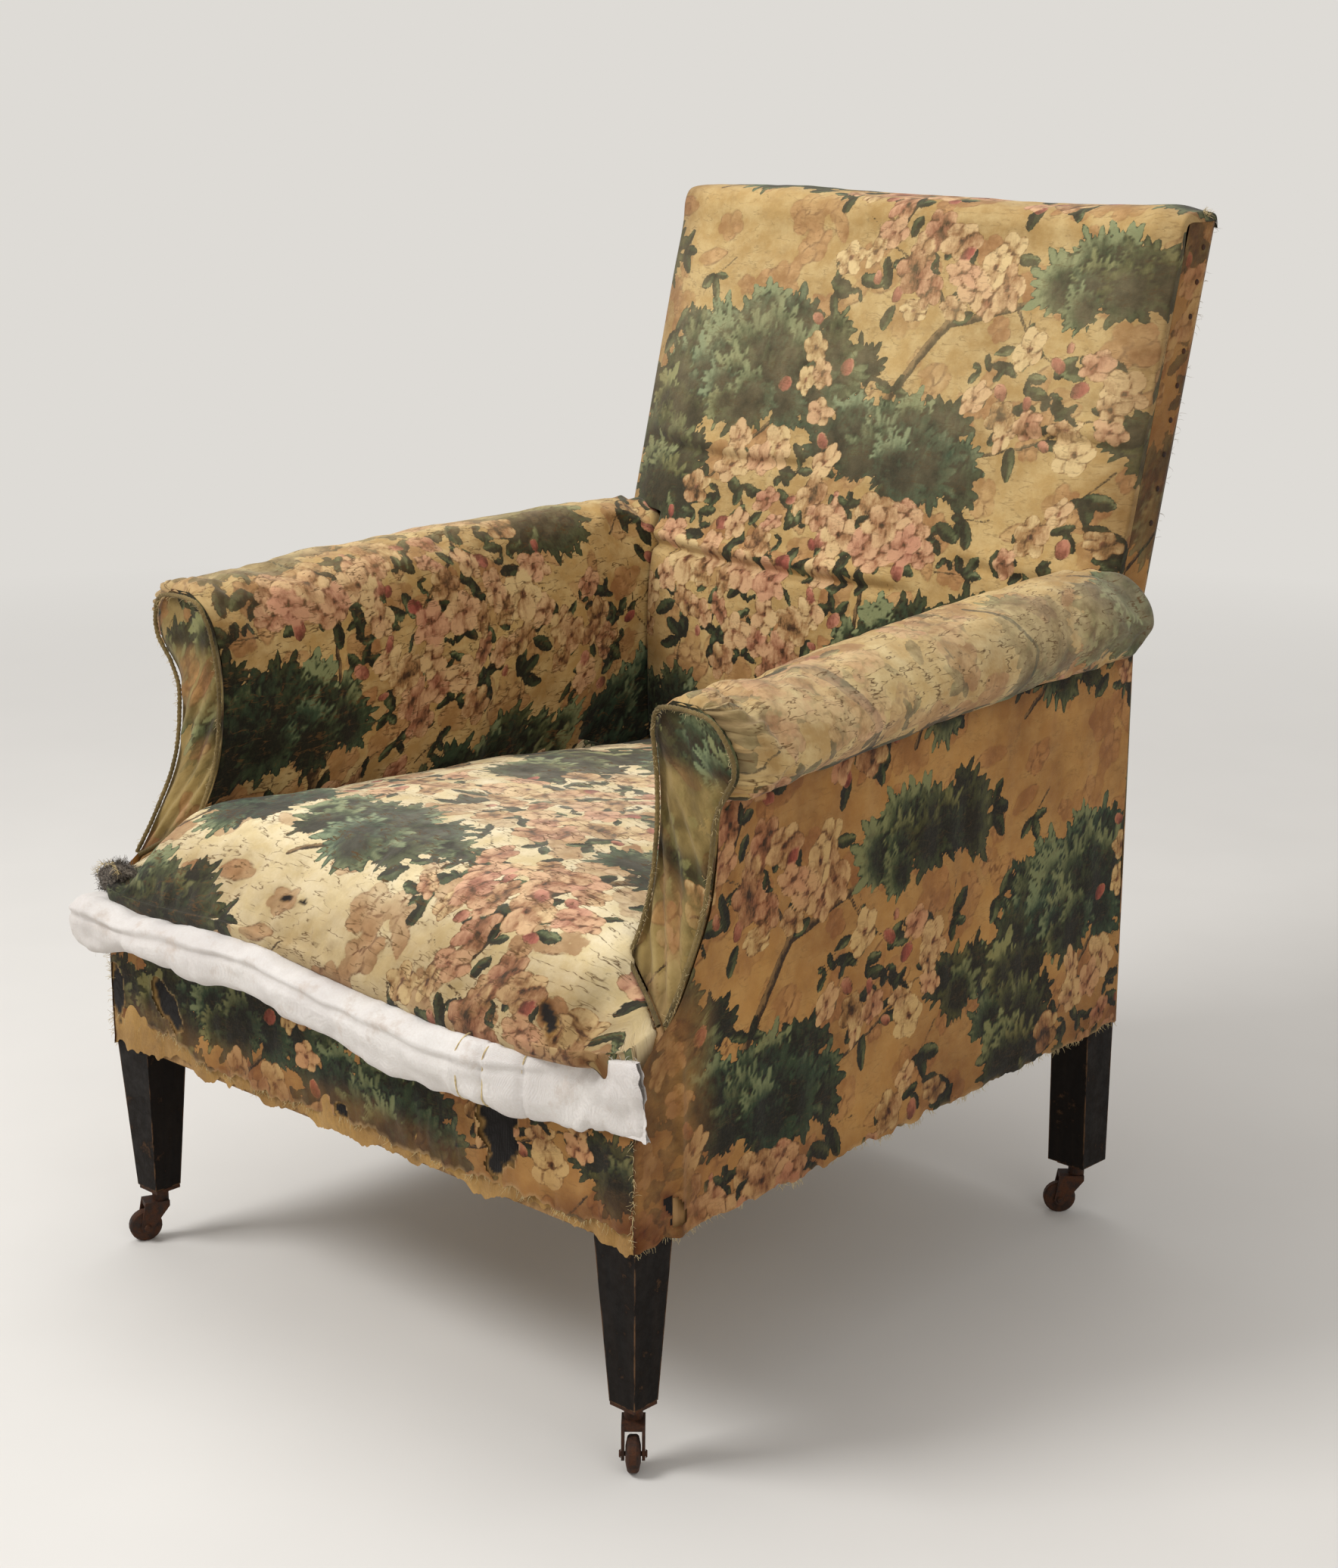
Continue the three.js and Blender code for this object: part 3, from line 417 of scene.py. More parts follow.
class Print:
    """The printed motifs at a set of cloth points, each laid over those before it."""

    CELL = 0.020

    def __init__(self, u, v):
        drift = [0.005 * noise(u, v, 0.06, 3 + k) + 0.0010 * noise(u, v, 0.009, 5 + k) for k in range(2)]
        self.u = (u + drift[0]) % REPEAT_WIDE
        self.v = (v + drift[1]) % REPEAT_TALL
        self.columns = math.ceil(REPEAT_WIDE / self.CELL)
        self.rows = math.ceil(REPEAT_TALL / self.CELL)
        cell = (self.u / self.CELL).astype(int) * self.rows + (self.v / self.CELL).astype(int)
        self.order = np.argsort(cell, kind="stable")
        self.starts = np.searchsorted(cell[self.order], np.arange(self.columns * self.rows + 1))
        layers = ("leaf", "bloom", "ghost", "twig")
        self.depth = {name: np.full(u.shape, -0.05) for name in layers}
        self.tone = {name: np.zeros(u.shape) for name in layers}
        self.hue = {name: np.zeros(u.shape) for name in layers}
        self.line = {name: np.full(u.shape, 0.01) for name in layers}

    def near(self, x, y, reach):
        """The points within reach of a place, and where they lie from it, on a print that repeats."""
        columns, rows = (
            range(math.floor((at - reach) / self.CELL), math.floor((at + reach) / self.CELL) + 1)
            for at in (x, y)
        )
        cells = [(c % self.columns) * self.rows + r % self.rows for c in columns for r in rows]
        found = np.concatenate([self.order[self.starts[k] : self.starts[k + 1]] for k in cells])
        du = (self.u[found] - x + REPEAT_WIDE / 2) % REPEAT_WIDE - REPEAT_WIDE / 2
        dv = (self.v[found] - y + REPEAT_TALL / 2) % REPEAT_TALL - REPEAT_TALL / 2
        return found, du, dv

    def lay(self, name, found, depth, tone, hue, shadow=0.0):
        """Lays one shape over a layer, with a shadow round it on what it covers."""
        cover = smoothstep(-0.4 * MM, 0.6 * MM, depth)
        reach = (3.6 if name == "leaf" else 2.4) * MM
        shade = 1 - shadow * smoothstep(-reach, 0, depth) * (1 - cover)
        self.tone[name][found] = mix(self.tone[name][found] * shade, tone, cover)
        self.hue[name][found] = mix(self.hue[name][found], hue, cover)
        line = self.line[name][found]
        self.line[name][found] = np.where(depth > 0, depth, np.minimum(line, -depth))
        self.depth[name][found] = np.maximum(self.depth[name][found], depth)

    def uncover(self, name, found, depth):
        """Cuts a shape out of a layer, so that what lies under it shows."""
        self.depth[name][found] = np.minimum(self.depth[name][found], -depth)

    def foliage(self, dice, x, y, wide, tall, tilt, tufts, olive):
        """A pad of tufts, laid from its top down, each with a dark root and pale tips."""
        spots = []
        for k in range(tufts):
            out, turn = math.sqrt((k + 0.6) / tufts), k * GOLDEN + x * 30
            spots.append(turned(wide * out * math.cos(turn), tall * out * math.sin(turn), -tilt))
        for k, (px, py) in enumerate(sorted(spots, key=lambda spot: -spot[1] - 0.3 * abs(spot[0]))):
            radius = dice.uniform(0.020, 0.034)
            angle = math.atan2(py + 0.55 * tall, px * 0.8) + dice.uniform(-0.45, 0.45)
            found, du, dv = self.near(x + px, y + py, radius * 1.7)
            depth, far, shading = tuft(du, dv, angle, radius, dice.integers(8, 13), k)
            light = (0.85 - 0.25 * px / wide + 0.25 * py / tall) * dice.choice(LIGHTS)
            tone = light * shading * (0.15 + 0.85 * smoothstep(0.15, 0.70, far))
            self.lay("leaf", found, depth, tone, np.clip(olive + dice.uniform(-0.35, 0.35), 0, 1), 0.9)

    def leaf(self, dice, x, y, angle, size, olive=0.5, over=None):
        """One pointed leaf, with a light and a dark half, that may lie over another layer too."""
        found, du, dv = self.near(x + size * math.cos(angle), y + size * math.sin(angle), size * 1.1)
        depth, along, across = oval(du, dv, angle, size, dice.uniform(0.38, 0.52), 1.3)
        half = np.where(across > 0.10 * np.sin(along * 4), 0.85, 0.25)
        tone = half * (0.75 + 0.25 * along) * dice.uniform(0.4, 1.3)
        self.lay("leaf", found, depth, tone, olive, 0.5)
        if over:
            self.uncover(over, found, depth)

    def flower(self, dice, name, x, y, radius, pink):
        """Five petals round a dark heart, seen from a little to one side."""
        found, du, dv = self.near(x, y, radius * 1.25)
        lean, flat = dice.uniform(0, math.pi), dice.uniform(0.62, 1.0)
        a, b = turned(du, dv, lean)
        b = b / flat
        start, light = dice.uniform(0, 6), dice.choice(BLOOM_LIGHTS)
        pink = pink + dice.uniform(-0.4, 0.4)
        for k in dice.permutation(PETALS):
            way = start + 2 * math.pi * k / PETALS + dice.uniform(-0.15, 0.15)
            middle = radius * 0.52
            depth, along, across = oval(
                a - middle * math.cos(way), b - middle * math.sin(way), way,
                radius * dice.uniform(0.46, 0.56), dice.uniform(0.78, 0.98),
            )
            tone = light + 0.72 + 0.24 * along - 0.20 * across + dice.uniform(-0.16, 0.10)
            self.lay(name, found, depth * flat, tone, np.clip(pink + dice.uniform(-0.2, 0.2), 0, 1.1), 0.55)
        heart = 0.13 * radius - np.hypot(a, b)
        self.lay(name, found, heart, 0.05, 0.9)

    def bud(self, dice, x, y):
        size = dice.uniform(0.006, 0.010)
        found, du, dv = self.near(x, y, size * 1.3)
        depth, along, across = oval(du, dv, dice.uniform(0, math.pi), size, 0.72)
        self.lay("bloom", found, depth, 0.55 + 0.3 * along - 0.2 * across, dice.uniform(1.1, 1.7), 0.4)

    def blossoms(self, dice, x, y, wide, tall, flowers, pink):
        """A spray of flowers over dark leaves, with buds and more leaves among them."""
        for k in range(flowers):
            out, turn = math.sqrt((k + 0.5) / flowers), k * GOLDEN + y * 30
            px, py = x + wide * out * math.cos(turn), y + tall * out * math.sin(turn)
            self.leaf(dice, px, py, dice.uniform(0, 2 * math.pi), dice.uniform(0.009, 0.016), 0.6, "bloom")
        for k in range(flowers - 1, -1, -1):
            out, turn = math.sqrt((k + 0.4) / flowers), k * GOLDEN + x * 40
            px = x + wide * out * math.cos(turn) + dice.uniform(-0.006, 0.006)
            py = y + tall * out * math.sin(turn) + dice.uniform(-0.006, 0.006)
            kind = dice.random()
            if kind < 0.19:
                self.bud(dice, px, py)
            elif kind < 0.40:
                way = dice.uniform(0, 2 * math.pi)
                for step in range(2):
                    self.leaf(dice, px, py, way + step * 1.5, dice.uniform(0.006, 0.011), 0.5, "bloom")
            else:
                self.flower(dice, "bloom", px, py, dice.uniform(0.015, 0.024), pink)

    def twig(self, points, widths):
        """A tapering twig through some points."""
        for (x0, y0), (x1, y1), w0, w1 in zip(points, points[1:], widths, widths[1:]):
            reach = math.hypot(x1 - x0, y1 - y0) / 2 + 0.02
            found, du, dv = self.near((x0 + x1) / 2, (y0 + y1) / 2, reach)
            ax, ay = (x1 - x0) / 2, (y1 - y0) / 2
            share = np.clip((du * ax + dv * ay) / (ax * ax + ay * ay), -1, 1)
            dx, dy = du - share * ax, dv - share * ay
            width = mix(w0, w1, (share + 1) / 2) * MM
            depth = width - np.hypot(dx, dy)
            tone = 0.5 + 0.5 * (dy - dx) / np.maximum(width, 1e-4)
            self.lay("twig", found, depth, tone, 0.5)


# Each pad of foliage: centre, half width, half height, tilt, tufts, how olive
PADS = [
    (0.165, 0.440, 0.130, 0.062, 0.10, 34, 0.30),
    (0.055, 0.350, 0.050, 0.085, 0.20, 17, 0.60),
    (0.350, 0.375, 0.095, 0.045, -0.15, 20, 0.05),
    (0.420, 0.185, 0.125, 0.046, 0.14, 28, 0.35),
    (0.565, 0.545, 0.095, 0.030, 0.05, 14, 0.65),
    (0.110, 0.075, 0.100, 0.044, -0.05, 20, 0.45),
    (0.592, 0.085, 0.045, 0.062, 0.30, 12, 0.20),
    (0.610, 0.400, 0.032, 0.030, 0.10, 5, 0.80),
]
# Each spray of blossom: centre, half width, half height, flowers, how pink
CLUSTERS = [
    (0.205, 0.255, 0.128, 0.118, 60, 0.45),
    (0.350, 0.290, 0.080, 0.030, 16, 0.55),
    (0.500, 0.435, 0.090, 0.052, 22, 0.30),
    (0.290, 0.050, 0.100, 0.052, 28, 0.45),
    (0.350, 0.540, 0.110, 0.040, 22, 0.30),
    (0.540, 0.285, 0.060, 0.050, 13, 0.25),
    (0.018, 0.185, 0.060, 0.058, 17, 0.35),
    (0.470, 0.025, 0.045, 0.030, 9, 0.50),
]
# Each twig: the points it runs through, and its half width there in millimetres
TWIGS = [
    ([(0.300, -0.020), (0.330, 0.060), (0.352, 0.120), (0.395, 0.160), (0.430, 0.200)], [8, 7, 5, 4, 2]),
    ([(0.352, 0.120), (0.330, 0.170), (0.340, 0.230), (0.330, 0.300), (0.350, 0.350)], [4, 3, 2.5, 2, 1]),
    ([(0.395, 0.160), (0.365, 0.205), (0.372, 0.250)], [2.2, 1.6, 0.8]),
    ([(0.140, 0.350), (0.170, 0.300), (0.215, 0.270), (0.250, 0.225)], [1.4, 1.9, 1.6, 0.8]),
    ([(0.100, 0.300), (0.150, 0.350), (0.200, 0.395), (0.205, 0.450)], [1.0, 1.8, 2.2, 1.2]),
    (
        [(0.430, 0.370), (0.490, 0.385), (0.545, 0.420), (0.590, 0.410), (0.640, 0.440)],
        [1.8, 1.6, 1.4, 1, 0.6],
    ),
    ([(0.318, 0.415), (0.380, 0.495), (0.450, 0.515), (0.520, 0.530), (0.560, 0.545)], [5, 4.5, 3.5, 2.0, 1]),
    ([(0.380, 0.495), (0.350, 0.545), (0.300, 0.560), (0.262, 0.590)], [3, 2.2, 1.2, 0.7]),
    ([(0.450, 0.515), (0.475, 0.480), (0.520, 0.462)], [2, 1.4, 0.7]),
    ([(0.060, 0.010), (0.110, 0.050), (0.180, 0.060), (0.250, 0.050)], [2.5, 2.2, 1.8, 0.8]),
    ([(0.540, 0.020), (0.575, 0.080), (0.560, 0.150), (0.520, 0.230)], [2.8, 2.4, 1.6, 0.8]),
    ([(0.560, 0.150), (0.600, 0.200), (0.610, 0.260)], [1.6, 1.1, 0.6]),
]
# Places where a short stem bears three leaves
SPRIGS = [
    (0.555, 0.350), (0.600, 0.300), (0.575, 0.235), (0.470, 0.480), (0.255, 0.130), (0.110, 0.160),
    (0.470, 0.085), (0.240, 0.515), (0.600, 0.460), (0.150, 0.165), (0.440, 0.320), (0.080, 0.225),
    (0.450, 0.265), (0.020, 0.540), (0.390, 0.105), (0.200, 0.120), (0.505, 0.135), (0.030, 0.460),
    (0.085, 0.520), (0.330, 0.430), (0.620, 0.200),
]
# Single flowers on the largest pad of foliage, each with a bud in one direction from it
STRAYS = [(0.232, 0.462, 1.8), (0.246, 0.438, 0.4), (0.226, 0.430, 3.4), (0.250, 0.400, 5.0)]
GHOSTS = 210


def print_marks(u, v):
    """The print at each point: depths in millimetres inside each layer, with the tones of its colours."""
    dice = np.random.default_rng(41)
    cloth = Print(u, v)
    for k in range(GHOSTS):
        x, y = dice.uniform(0, REPEAT_WIDE), dice.uniform(0, REPEAT_TALL)
        if k % 3:
            cloth.flower(dice, "ghost", x, y, dice.uniform(0.013, 0.024), dice.uniform(0, 1))
        else:
            found, du, dv = cloth.near(x, y, 0.03)
            depth, _, across = oval(du, dv, dice.uniform(0, 6), dice.uniform(0.012, 0.024), 0.4, 1.5)
            cloth.lay("ghost", found, depth, 0.3 + 0.3 * across, dice.uniform(0, 0.4))
    for points, widths in TWIGS:
        cloth.twig(points, widths)
    for pad in PADS:
        cloth.foliage(dice, *pad)
    for x, y in SPRIGS:
        way = dice.uniform(0, 2 * math.pi)
        foot = (x - 0.030 * math.cos(way), y - 0.030 * math.sin(way))
        tip = (x + 0.02 * math.cos(way + 0.5), y + 0.02 * math.sin(way + 0.5))
        cloth.twig([foot, (x, y), tip], [1.2, 0.9, 0.4])
        for step in range(3):
            cloth.leaf(dice, x, y, way + step * dice.uniform(0.8, 1.5), dice.uniform(0.009, 0.016))
    for cluster in CLUSTERS:
        cloth.blossoms(dice, *cluster)
    for x, y, way in STRAYS:
        cloth.flower(dice, "bloom", x, y, 0.017, 0.10)
        cloth.bud(dice, x + 0.028 * math.cos(way), y + 0.028 * math.sin(way))

    def marks(name):
        return [cloth.depth[name] / MM, cloth.tone[name], cloth.hue[name], cloth.line[name] / MM]

    twig = cloth.depth["twig"] / MM
    ghosts = [cloth.depth["ghost"] / MM, cloth.line["ghost"] / MM, twig, cloth.tone["twig"]]
    return {
        "foliage": np.column_stack(marks("leaf")),
        "blossom": np.column_stack(marks("bloom")),
        "ghosts": np.column_stack(ghosts),
    }


# Materials
def colour(code):
    """A linear colour from six hex digits of sRGB."""
    parts = [int(code[k : k + 2], 16) / 255 for k in (0, 2, 4)]
    return (*[((c + 0.055) / 1.055) ** 2.4 if c > 0.04045 else c / 12.92 for c in parts], 1.0)


class Shader:
    """A material and short ways to add its nodes."""

    def __init__(self, name, **settings):
        self.material = bpy.data.materials.new(name)
        self.material.use_nodes = True
        self.tree = self.material.node_tree
        self.bsdf = self.tree.nodes["Principled BSDF"]
        for key, value in settings.items():
            self.bsdf.inputs[key.replace("_", " ")].default_value = value

    def add(self, kind, inputs=(), **settings):
        node = self.tree.nodes.new(kind)
        for key, value in settings.items():
            setattr(node, key, value)
        for key, value in dict(inputs).items():
            self.feed(node.inputs[key], value)
        return node

    def feed(self, socket, value):
        if isinstance(value, bpy.types.NodeSocket):
            self.tree.links.new(value, socket)
        elif isinstance(value, str):
            socket.default_value = colour(value)
        else:
            socket.default_value = value

    def math(self, operation, a, b=0.0):
        return self.add("ShaderNodeMath", {0: a, 1: b}, operation=operation).outputs[0]

    def plus(self, a, b):
        return self.math("ADD", a, b)

    def times(self, a, b):
        return self.math("MULTIPLY", a, b)

    def ramp(self, value, low, high, to_low=0.0, to_high=1.0):
        """A value from one range, held inside it, as a value in another."""
        inputs = {0: value, 1: low, 2: high, 3: to_low, 4: to_high}
        return self.add("ShaderNodeMapRange", inputs, clamp=True).outputs[0]

    def stir(self, value, texture, amount):
        """A value moved up and down by a texture."""
        return self.plus(value, self.ramp(texture, 0.3, 0.7, -amount, amount))

    def mix(self, share, a, b, blend="MIX"):
        node = self.add("ShaderNodeMix", data_type="RGBA", blend_type=blend)
        self.feed(node.inputs["Factor"], share)
        self.feed(node.inputs[6], a)
        self.feed(node.inputs[7], b)
        return node.outputs[2]

    def noise(self, where, scale, detail=3.0, roughness=0.55):
        inputs = {"Vector": where, "Scale": scale, "Detail": detail, "Roughness": roughness}
        return self.add("ShaderNodeTexNoise", inputs).outputs["Fac"]

    def marks(self, name):
        """The four values of a point attribute."""
        node = self.add("ShaderNodeAttribute", attribute_name=name)
        parts = self.add("ShaderNodeSeparateColor", {0: node.outputs["Color"]}).outputs
        return parts[0], parts[1], parts[2], node.outputs["Alpha"]

    def where(self, name="cloth"):
        return self.add("ShaderNodeAttribute", attribute_name=name).outputs["Vector"]

    def place(self):
        return self.add("ShaderNodeTexCoord").outputs["Object"]

    def stretched(self, vector, x, y, z):
        return self.add("ShaderNodeMapping", {"Vector": vector, "Scale": (x, y, z)}).outputs[0]

    def bump(self, height, distance, strength=1.0, normal=None):
        node = self.add("ShaderNodeBump", {"Height": height, "Distance": distance, "Strength": strength})
        if normal is not None:
            self.feed(node.inputs["Normal"], normal)
        return node.outputs[0]

    def finish(self, base, roughness, normal=None):
        self.feed(self.bsdf.inputs["Base Color"], base)
        self.feed(self.bsdf.inputs["Roughness"], roughness)
        if normal is not None:
            self.feed(self.bsdf.inputs["Normal"], normal)
        return self.material


def weave(shader, where, pitch):
    """The height of a plain weave of that pitch, over and under."""
    parts = shader.add("ShaderNodeSeparateXYZ", {0: where}).outputs
    across, along = (shader.math("SINE", shader.times(part, 2 * math.pi / pitch)) for part in parts[:2])
    return shader.times(across, along)


# The print's colours: leaves from cool to olive, petals and their shade from cream to pink to red
LEAF_DARK = ("10170f", "1b1a0a")
LEAF_MID = ("2f4a39", "4a4f2c")
LEAF_LIGHT = ("82987a", "959868")
PETAL = ("e6cf9f", "d9a58a", "b5655a")
PETAL_SHADE = ("a98458", "9c604d", "76352f")
PETAL_DEEP = "38240f"
PETAL_LINE = "5c3a22"
BARK = ("3a2a18", "8d7350")
GHOST = ("9a6a42", "c49365")
GHOST_LINE = "7c5433"
# Painted deep shade for the inside of holes and for dark corners
PAINTED_DEEP_SHADE = "1b1510"


def chintz(name, ground, ground_deep, pale_fade_and_highlight, soil, wash, cracks=0.0):
    """Printed cotton: its ground, its fading, which also paints highlight, its dirt, which also paints shade, a
    wash over the print, and how far fine creases show.
    """
    s = Shader(name, Sheen_Weight=0.10, Sheen_Roughness=0.5, Specular_IOR_Level=0.2)
    where = s.where()
    depth, tone, hue, _ = s.marks("foliage")
    bloom, bloom_tone, pink, line = s.marks("blossom")
    ghost, ghost_line, twig, twig_tone = s.marks("ghosts")
    dirt_and_shade, fade_and_highlight, dark, rub = s.marks("wear")
    blotch = s.noise(where, 8, 4, 0.6)
    mottle = s.noise(where, 38, 5, 0.65)
    grain = s.noise(where, 420, 2, 0.6)
    brush = s.noise(s.stretched(where, 1, 0.45, 1), 190, 3, 0.7)
    dab = s.noise(where, 110, 3, 0.6)
    fuzz = s.ramp(grain, 0.3, 0.7, -0.5, 0.5)
    ragged = s.stir(s.stir(fuzz, brush, 1.0), dab, 0.9)

    # The ground, with the pale shapes, outlines and twigs that are left when the rest is rubbed off
    plain = s.mix(s.ramp(blotch, 0.35, 0.65), ground, ground_deep)
    plain = s.mix(s.ramp(mottle, 0.40, 0.72, 0, 0.55), plain, pale_fade_and_highlight)
    plain = s.mix(s.ramp(s.noise(where, 17, 5, 0.7), 0.52, 0.70, 0, 0.35), plain, soil)
    ghosts = s.times(s.ramp(s.plus(ghost, ragged), -0.5, 1.0), s.ramp(blotch, 0.35, 0.6, 0.25, 0.85))
    base = s.mix(ghosts, plain, s.mix(s.ramp(mottle, 0.4, 0.62), *GHOST))
    ghost_edge = s.ramp(s.stir(ghost_line, dab, 0.8), 0.3, 1.8, 0.80 + 0.2 * cracks, 0)
    ghost_edge = s.times(ghost_edge, s.ramp(ghost, -2.0, 0.0))
    base = s.mix(s.times(ghost_edge, s.ramp(mottle, 0.42, 0.6, 0.1, 1.0)), base, GHOST_LINE)
    bark = s.mix(s.ramp(s.stir(twig_tone, brush, 0.4), 0.3, 0.8), *BARK)
    worn = base = s.mix(s.ramp(s.plus(twig, fuzz), -0.3, 0.5), base, bark)

    light = s.stir(s.stir(tone, brush, 0.16), dab, 0.08)
    leaf = s.mix(s.ramp(light, 0.15, 0.50), s.mix(hue, *LEAF_DARK), s.mix(hue, *LEAF_MID))
    leaf = s.mix(s.ramp(light, 0.55, 1.10), leaf, s.mix(hue, *LEAF_LIGHT))
    base = s.mix(s.ramp(s.plus(depth, ragged), -0.25, 0.45), base, leaf)

    glow = s.stir(s.stir(bloom_tone, brush, 0.22), dab, 0.12)
    petal, shade = (
        s.mix(s.ramp(pink, 1.0, 1.5), s.mix(s.ramp(pink, 0, 1), cream, rose), red)
        for cream, rose, red in (PETAL, PETAL_SHADE)
    )
    flower = s.mix(s.ramp(glow, 0.0, 0.32), PETAL_DEEP, shade)
    flower = s.mix(s.ramp(glow, 0.32, 0.80), flower, petal)
    flower = s.mix(s.ramp(s.stir(line, dab, 0.7), 0.15, 1.1, 0.80, 0), flower, PETAL_LINE)
    base = s.mix(s.ramp(s.plus(bloom, fuzz), -0.25, 0.35), base, flower)

    # Wear and painted light: print rubbed off, cloth faded with painted highlight, dirt with painted shade,
    # soiled patches, fine dark creases and painted deep shade inside a hole
    base = s.mix(s.times(rub, s.ramp(mottle, 0.30, 0.62, 0.45, 1.0)), base, worn)
    base = s.mix(1.0, base, wash, "MULTIPLY")
    # Fading and painted highlight, in the pale fade colour
    base = s.mix(s.times(fade_and_highlight, s.ramp(mottle, 0.3, 0.7, 0.25, 1.0)), base, pale_fade_and_highlight)
    # Dirt and painted shade, in the soil colour
    base = s.mix(s.times(dirt_and_shade, s.ramp(blotch, 0.3, 0.7, 0.35, 1.0)), base, soil, "MULTIPLY")
    base = s.mix(s.ramp(s.noise(where, 26, 5, 0.7), 0.60, 0.75, 0, 0.30), base, soil, "MULTIPLY")
    base = s.mix(s.ramp(grain, 0.3, 0.7, 0, 0.09), base, "6e5a3c")
    if cracks:
        crack = s.math("SUBTRACT", s.noise(s.stretched(where, 0.30, 1, 1), 75, 3, 0.6), 0.5)
        crack = s.ramp(s.math("ABSOLUTE", crack), 0.0, 0.022, cracks, 0)
        crack = s.times(crack, s.ramp(dab, 0.40, 0.52))
        base = s.mix(s.times(crack, s.ramp(mottle, 0.42, 0.52)), base, "5a4022")
    # Painted deep shade inside holes and at dark corners
    base = s.mix(dark, base, PAINTED_DEEP_SHADE)

    height = s.plus(s.times(weave(s, where, 0.9 * MM), 0.5), s.times(grain, 2.0))
    normal = s.bump(s.noise(where, 70, 4, 0.6), 1.8 * MM, 0.6)
    normal = s.bump(height, 0.12 * MM, 0.5, normal)
    return s.finish(base, s.ramp(mottle, 0.2, 0.8, 0.78, 0.95), normal)


def woven(name, pale, deep, soil, pitch, bump=0.25):
    """A plain cloth such as calico, hessian or webbing, coarse or fine."""
    s = Shader(name, Sheen_Weight=0.1, Specular_IOR_Level=0.2)
    where = s.place()
    blotch = s.noise(where, 14, 4, 0.6)
    grain = s.noise(where, 500, 2, 0.6)
    base = s.mix(s.ramp(blotch, 0.35, 0.65), pale, deep)
    base = s.mix(s.ramp(s.noise(where, 35, 5, 0.7), 0.56, 0.72, 0, 0.6), base, soil)
    base = s.mix(s.ramp(grain, 0.35, 0.65, 0, 0.15), base, soil)
    # Painted deep shade where a hole shows this cloth from behind
    base = s.mix(s.marks("wear")[2], base, "120d0a")
    threads = s.plus(weave(s, where, pitch), s.times(grain, 1.5))
    normal = s.bump(s.noise(where, 90, 4, 0.6), 1.5 * MM, 0.5)
    normal = s.bump(threads, bump * MM, 0.6, normal)
    return s.finish(base, 0.9, normal)


def wood(name, dark, light, worn):
    """Stained wood with its grain upright, scuffs, and pale wear along its edges."""
    s = Shader(name, Specular_IOR_Level=0.15)
    where = s.place()
    grain = s.noise(s.stretched(where, 90, 90, 7), 1.5, 6, 0.65)
    scuff = s.noise(where, 60, 5, 0.75)
    base = s.mix(s.ramp(grain, 0.35, 0.65), dark, light)
    base = s.mix(s.ramp(scuff, 0.60, 0.74, 0, 0.55), base, worn)
    rounded = s.add("ShaderNodeBevel", {"Radius": 2.2 * MM}, samples=6).outputs[0]
    flat = s.add("ShaderNodeNewGeometry").outputs["Normal"]
    turn = s.add("ShaderNodeVectorMath", {0: rounded, 1: flat}, operation="DOT_PRODUCT").outputs["Value"]
    edge = s.ramp(turn, 0.995, 0.93)
    chips = s.ramp(s.noise(s.stretched(where, 1, 1, 0.35), 130, 4, 0.7), 0.42, 0.58)
    base = s.mix(s.times(edge, chips), base, worn)
    normal = s.bump(grain, 0.35 * MM, 0.5)
    normal = s.bump(scuff, 0.5 * MM, 0.4, normal)
    return s.finish(base, s.ramp(scuff, 0.35, 0.7, 0.45, 0.8), normal)


def iron(name, dark, rust, metallic):
    """Old iron or steel, pitted and patched with rust."""
    s = Shader(name, Metallic=metallic)
    where = s.place()
    patches = s.noise(where, 120, 5, 0.7)
    pits = s.noise(where, 700, 4, 0.7)
    base = s.mix(s.ramp(patches, 0.38, 0.62), dark, rust)
    base = s.mix(s.ramp(pits, 0.5, 0.7, 0, 0.6), base, "2b1a12")
    normal = s.bump(s.plus(patches, pits), 0.5 * MM, 0.7)
    return s.finish(base, s.ramp(patches, 0.3, 0.7, 0.55, 0.85), normal)


def fibre(name, pale, deep):
    """Loose threads and stuffing."""
    s = Shader(name, Sheen_Weight=0.2, Specular_IOR_Level=0.2)
    base = s.mix(s.ramp(s.noise(s.place(), 300, 2, 0.6), 0.35, 0.65), pale, deep)
    return s.finish(base, 0.95)


inside_cloth = chintz("chintz_inside", "c8aa72", "b09059", "e6d3a2", "8d6c42", "f6efe2", 0.4)
arm_cloth = chintz("chintz_arm", "cdae74", "b08d58", "f4e4b4", "8a6a40", "f8f1e2", 1.0)
side_cloth = chintz("chintz_side", "c89f63", "ae8450", "d8ba84", "845c33", "eeddbf", 0.3)
facing_cloth = chintz("chintz_facing", "a8935f", "8d7848", "bfac7c", "6b5632", "f2ead6")
seat_cloth = chintz("chintz_seat", "eadcb4", "d3c090", "f8f1da", "97805a", "fffaf2", 1.0)
calico = woven("calico", "e6e1db", "d8d2cd", "c2b0a0", 1.0 * MM)
border_back = woven("border_lining", "b58e52", "8f6a38", "4a3318", 1.2 * MM)
hessian = woven("hessian", "a9885a", "8c6c43", "5c452a", 3.0 * MM, 0.8)
jute = woven("jute_webbing", "b39a6c", "94794e", "6b5433", 2.4 * MM, 0.6)
cord_cloth = woven("worn_cord", "8a7448", "5d4f30", "332a1a", 1.4 * MM)
dark_wood = wood("dark_wood", "0c0806", "17100b", "6b4d33")
frame_wood = wood("frame_wood", "a98558", "8d6a41", "6e4f2e")
spring_steel = iron("spring_steel", "5c5650", "7a4a2c", 0.8)
rusted_iron = iron("rusted_iron", "2e221c", "57341f", 0.55)
thread = fibre("frayed_thread", "d8c493", "b29a68")
white_thread = fibre("calico_thread", "e8e3da", "cfc6ba")
stuffing = fibre("horsehair_stuffing", "241b14", "83786a")


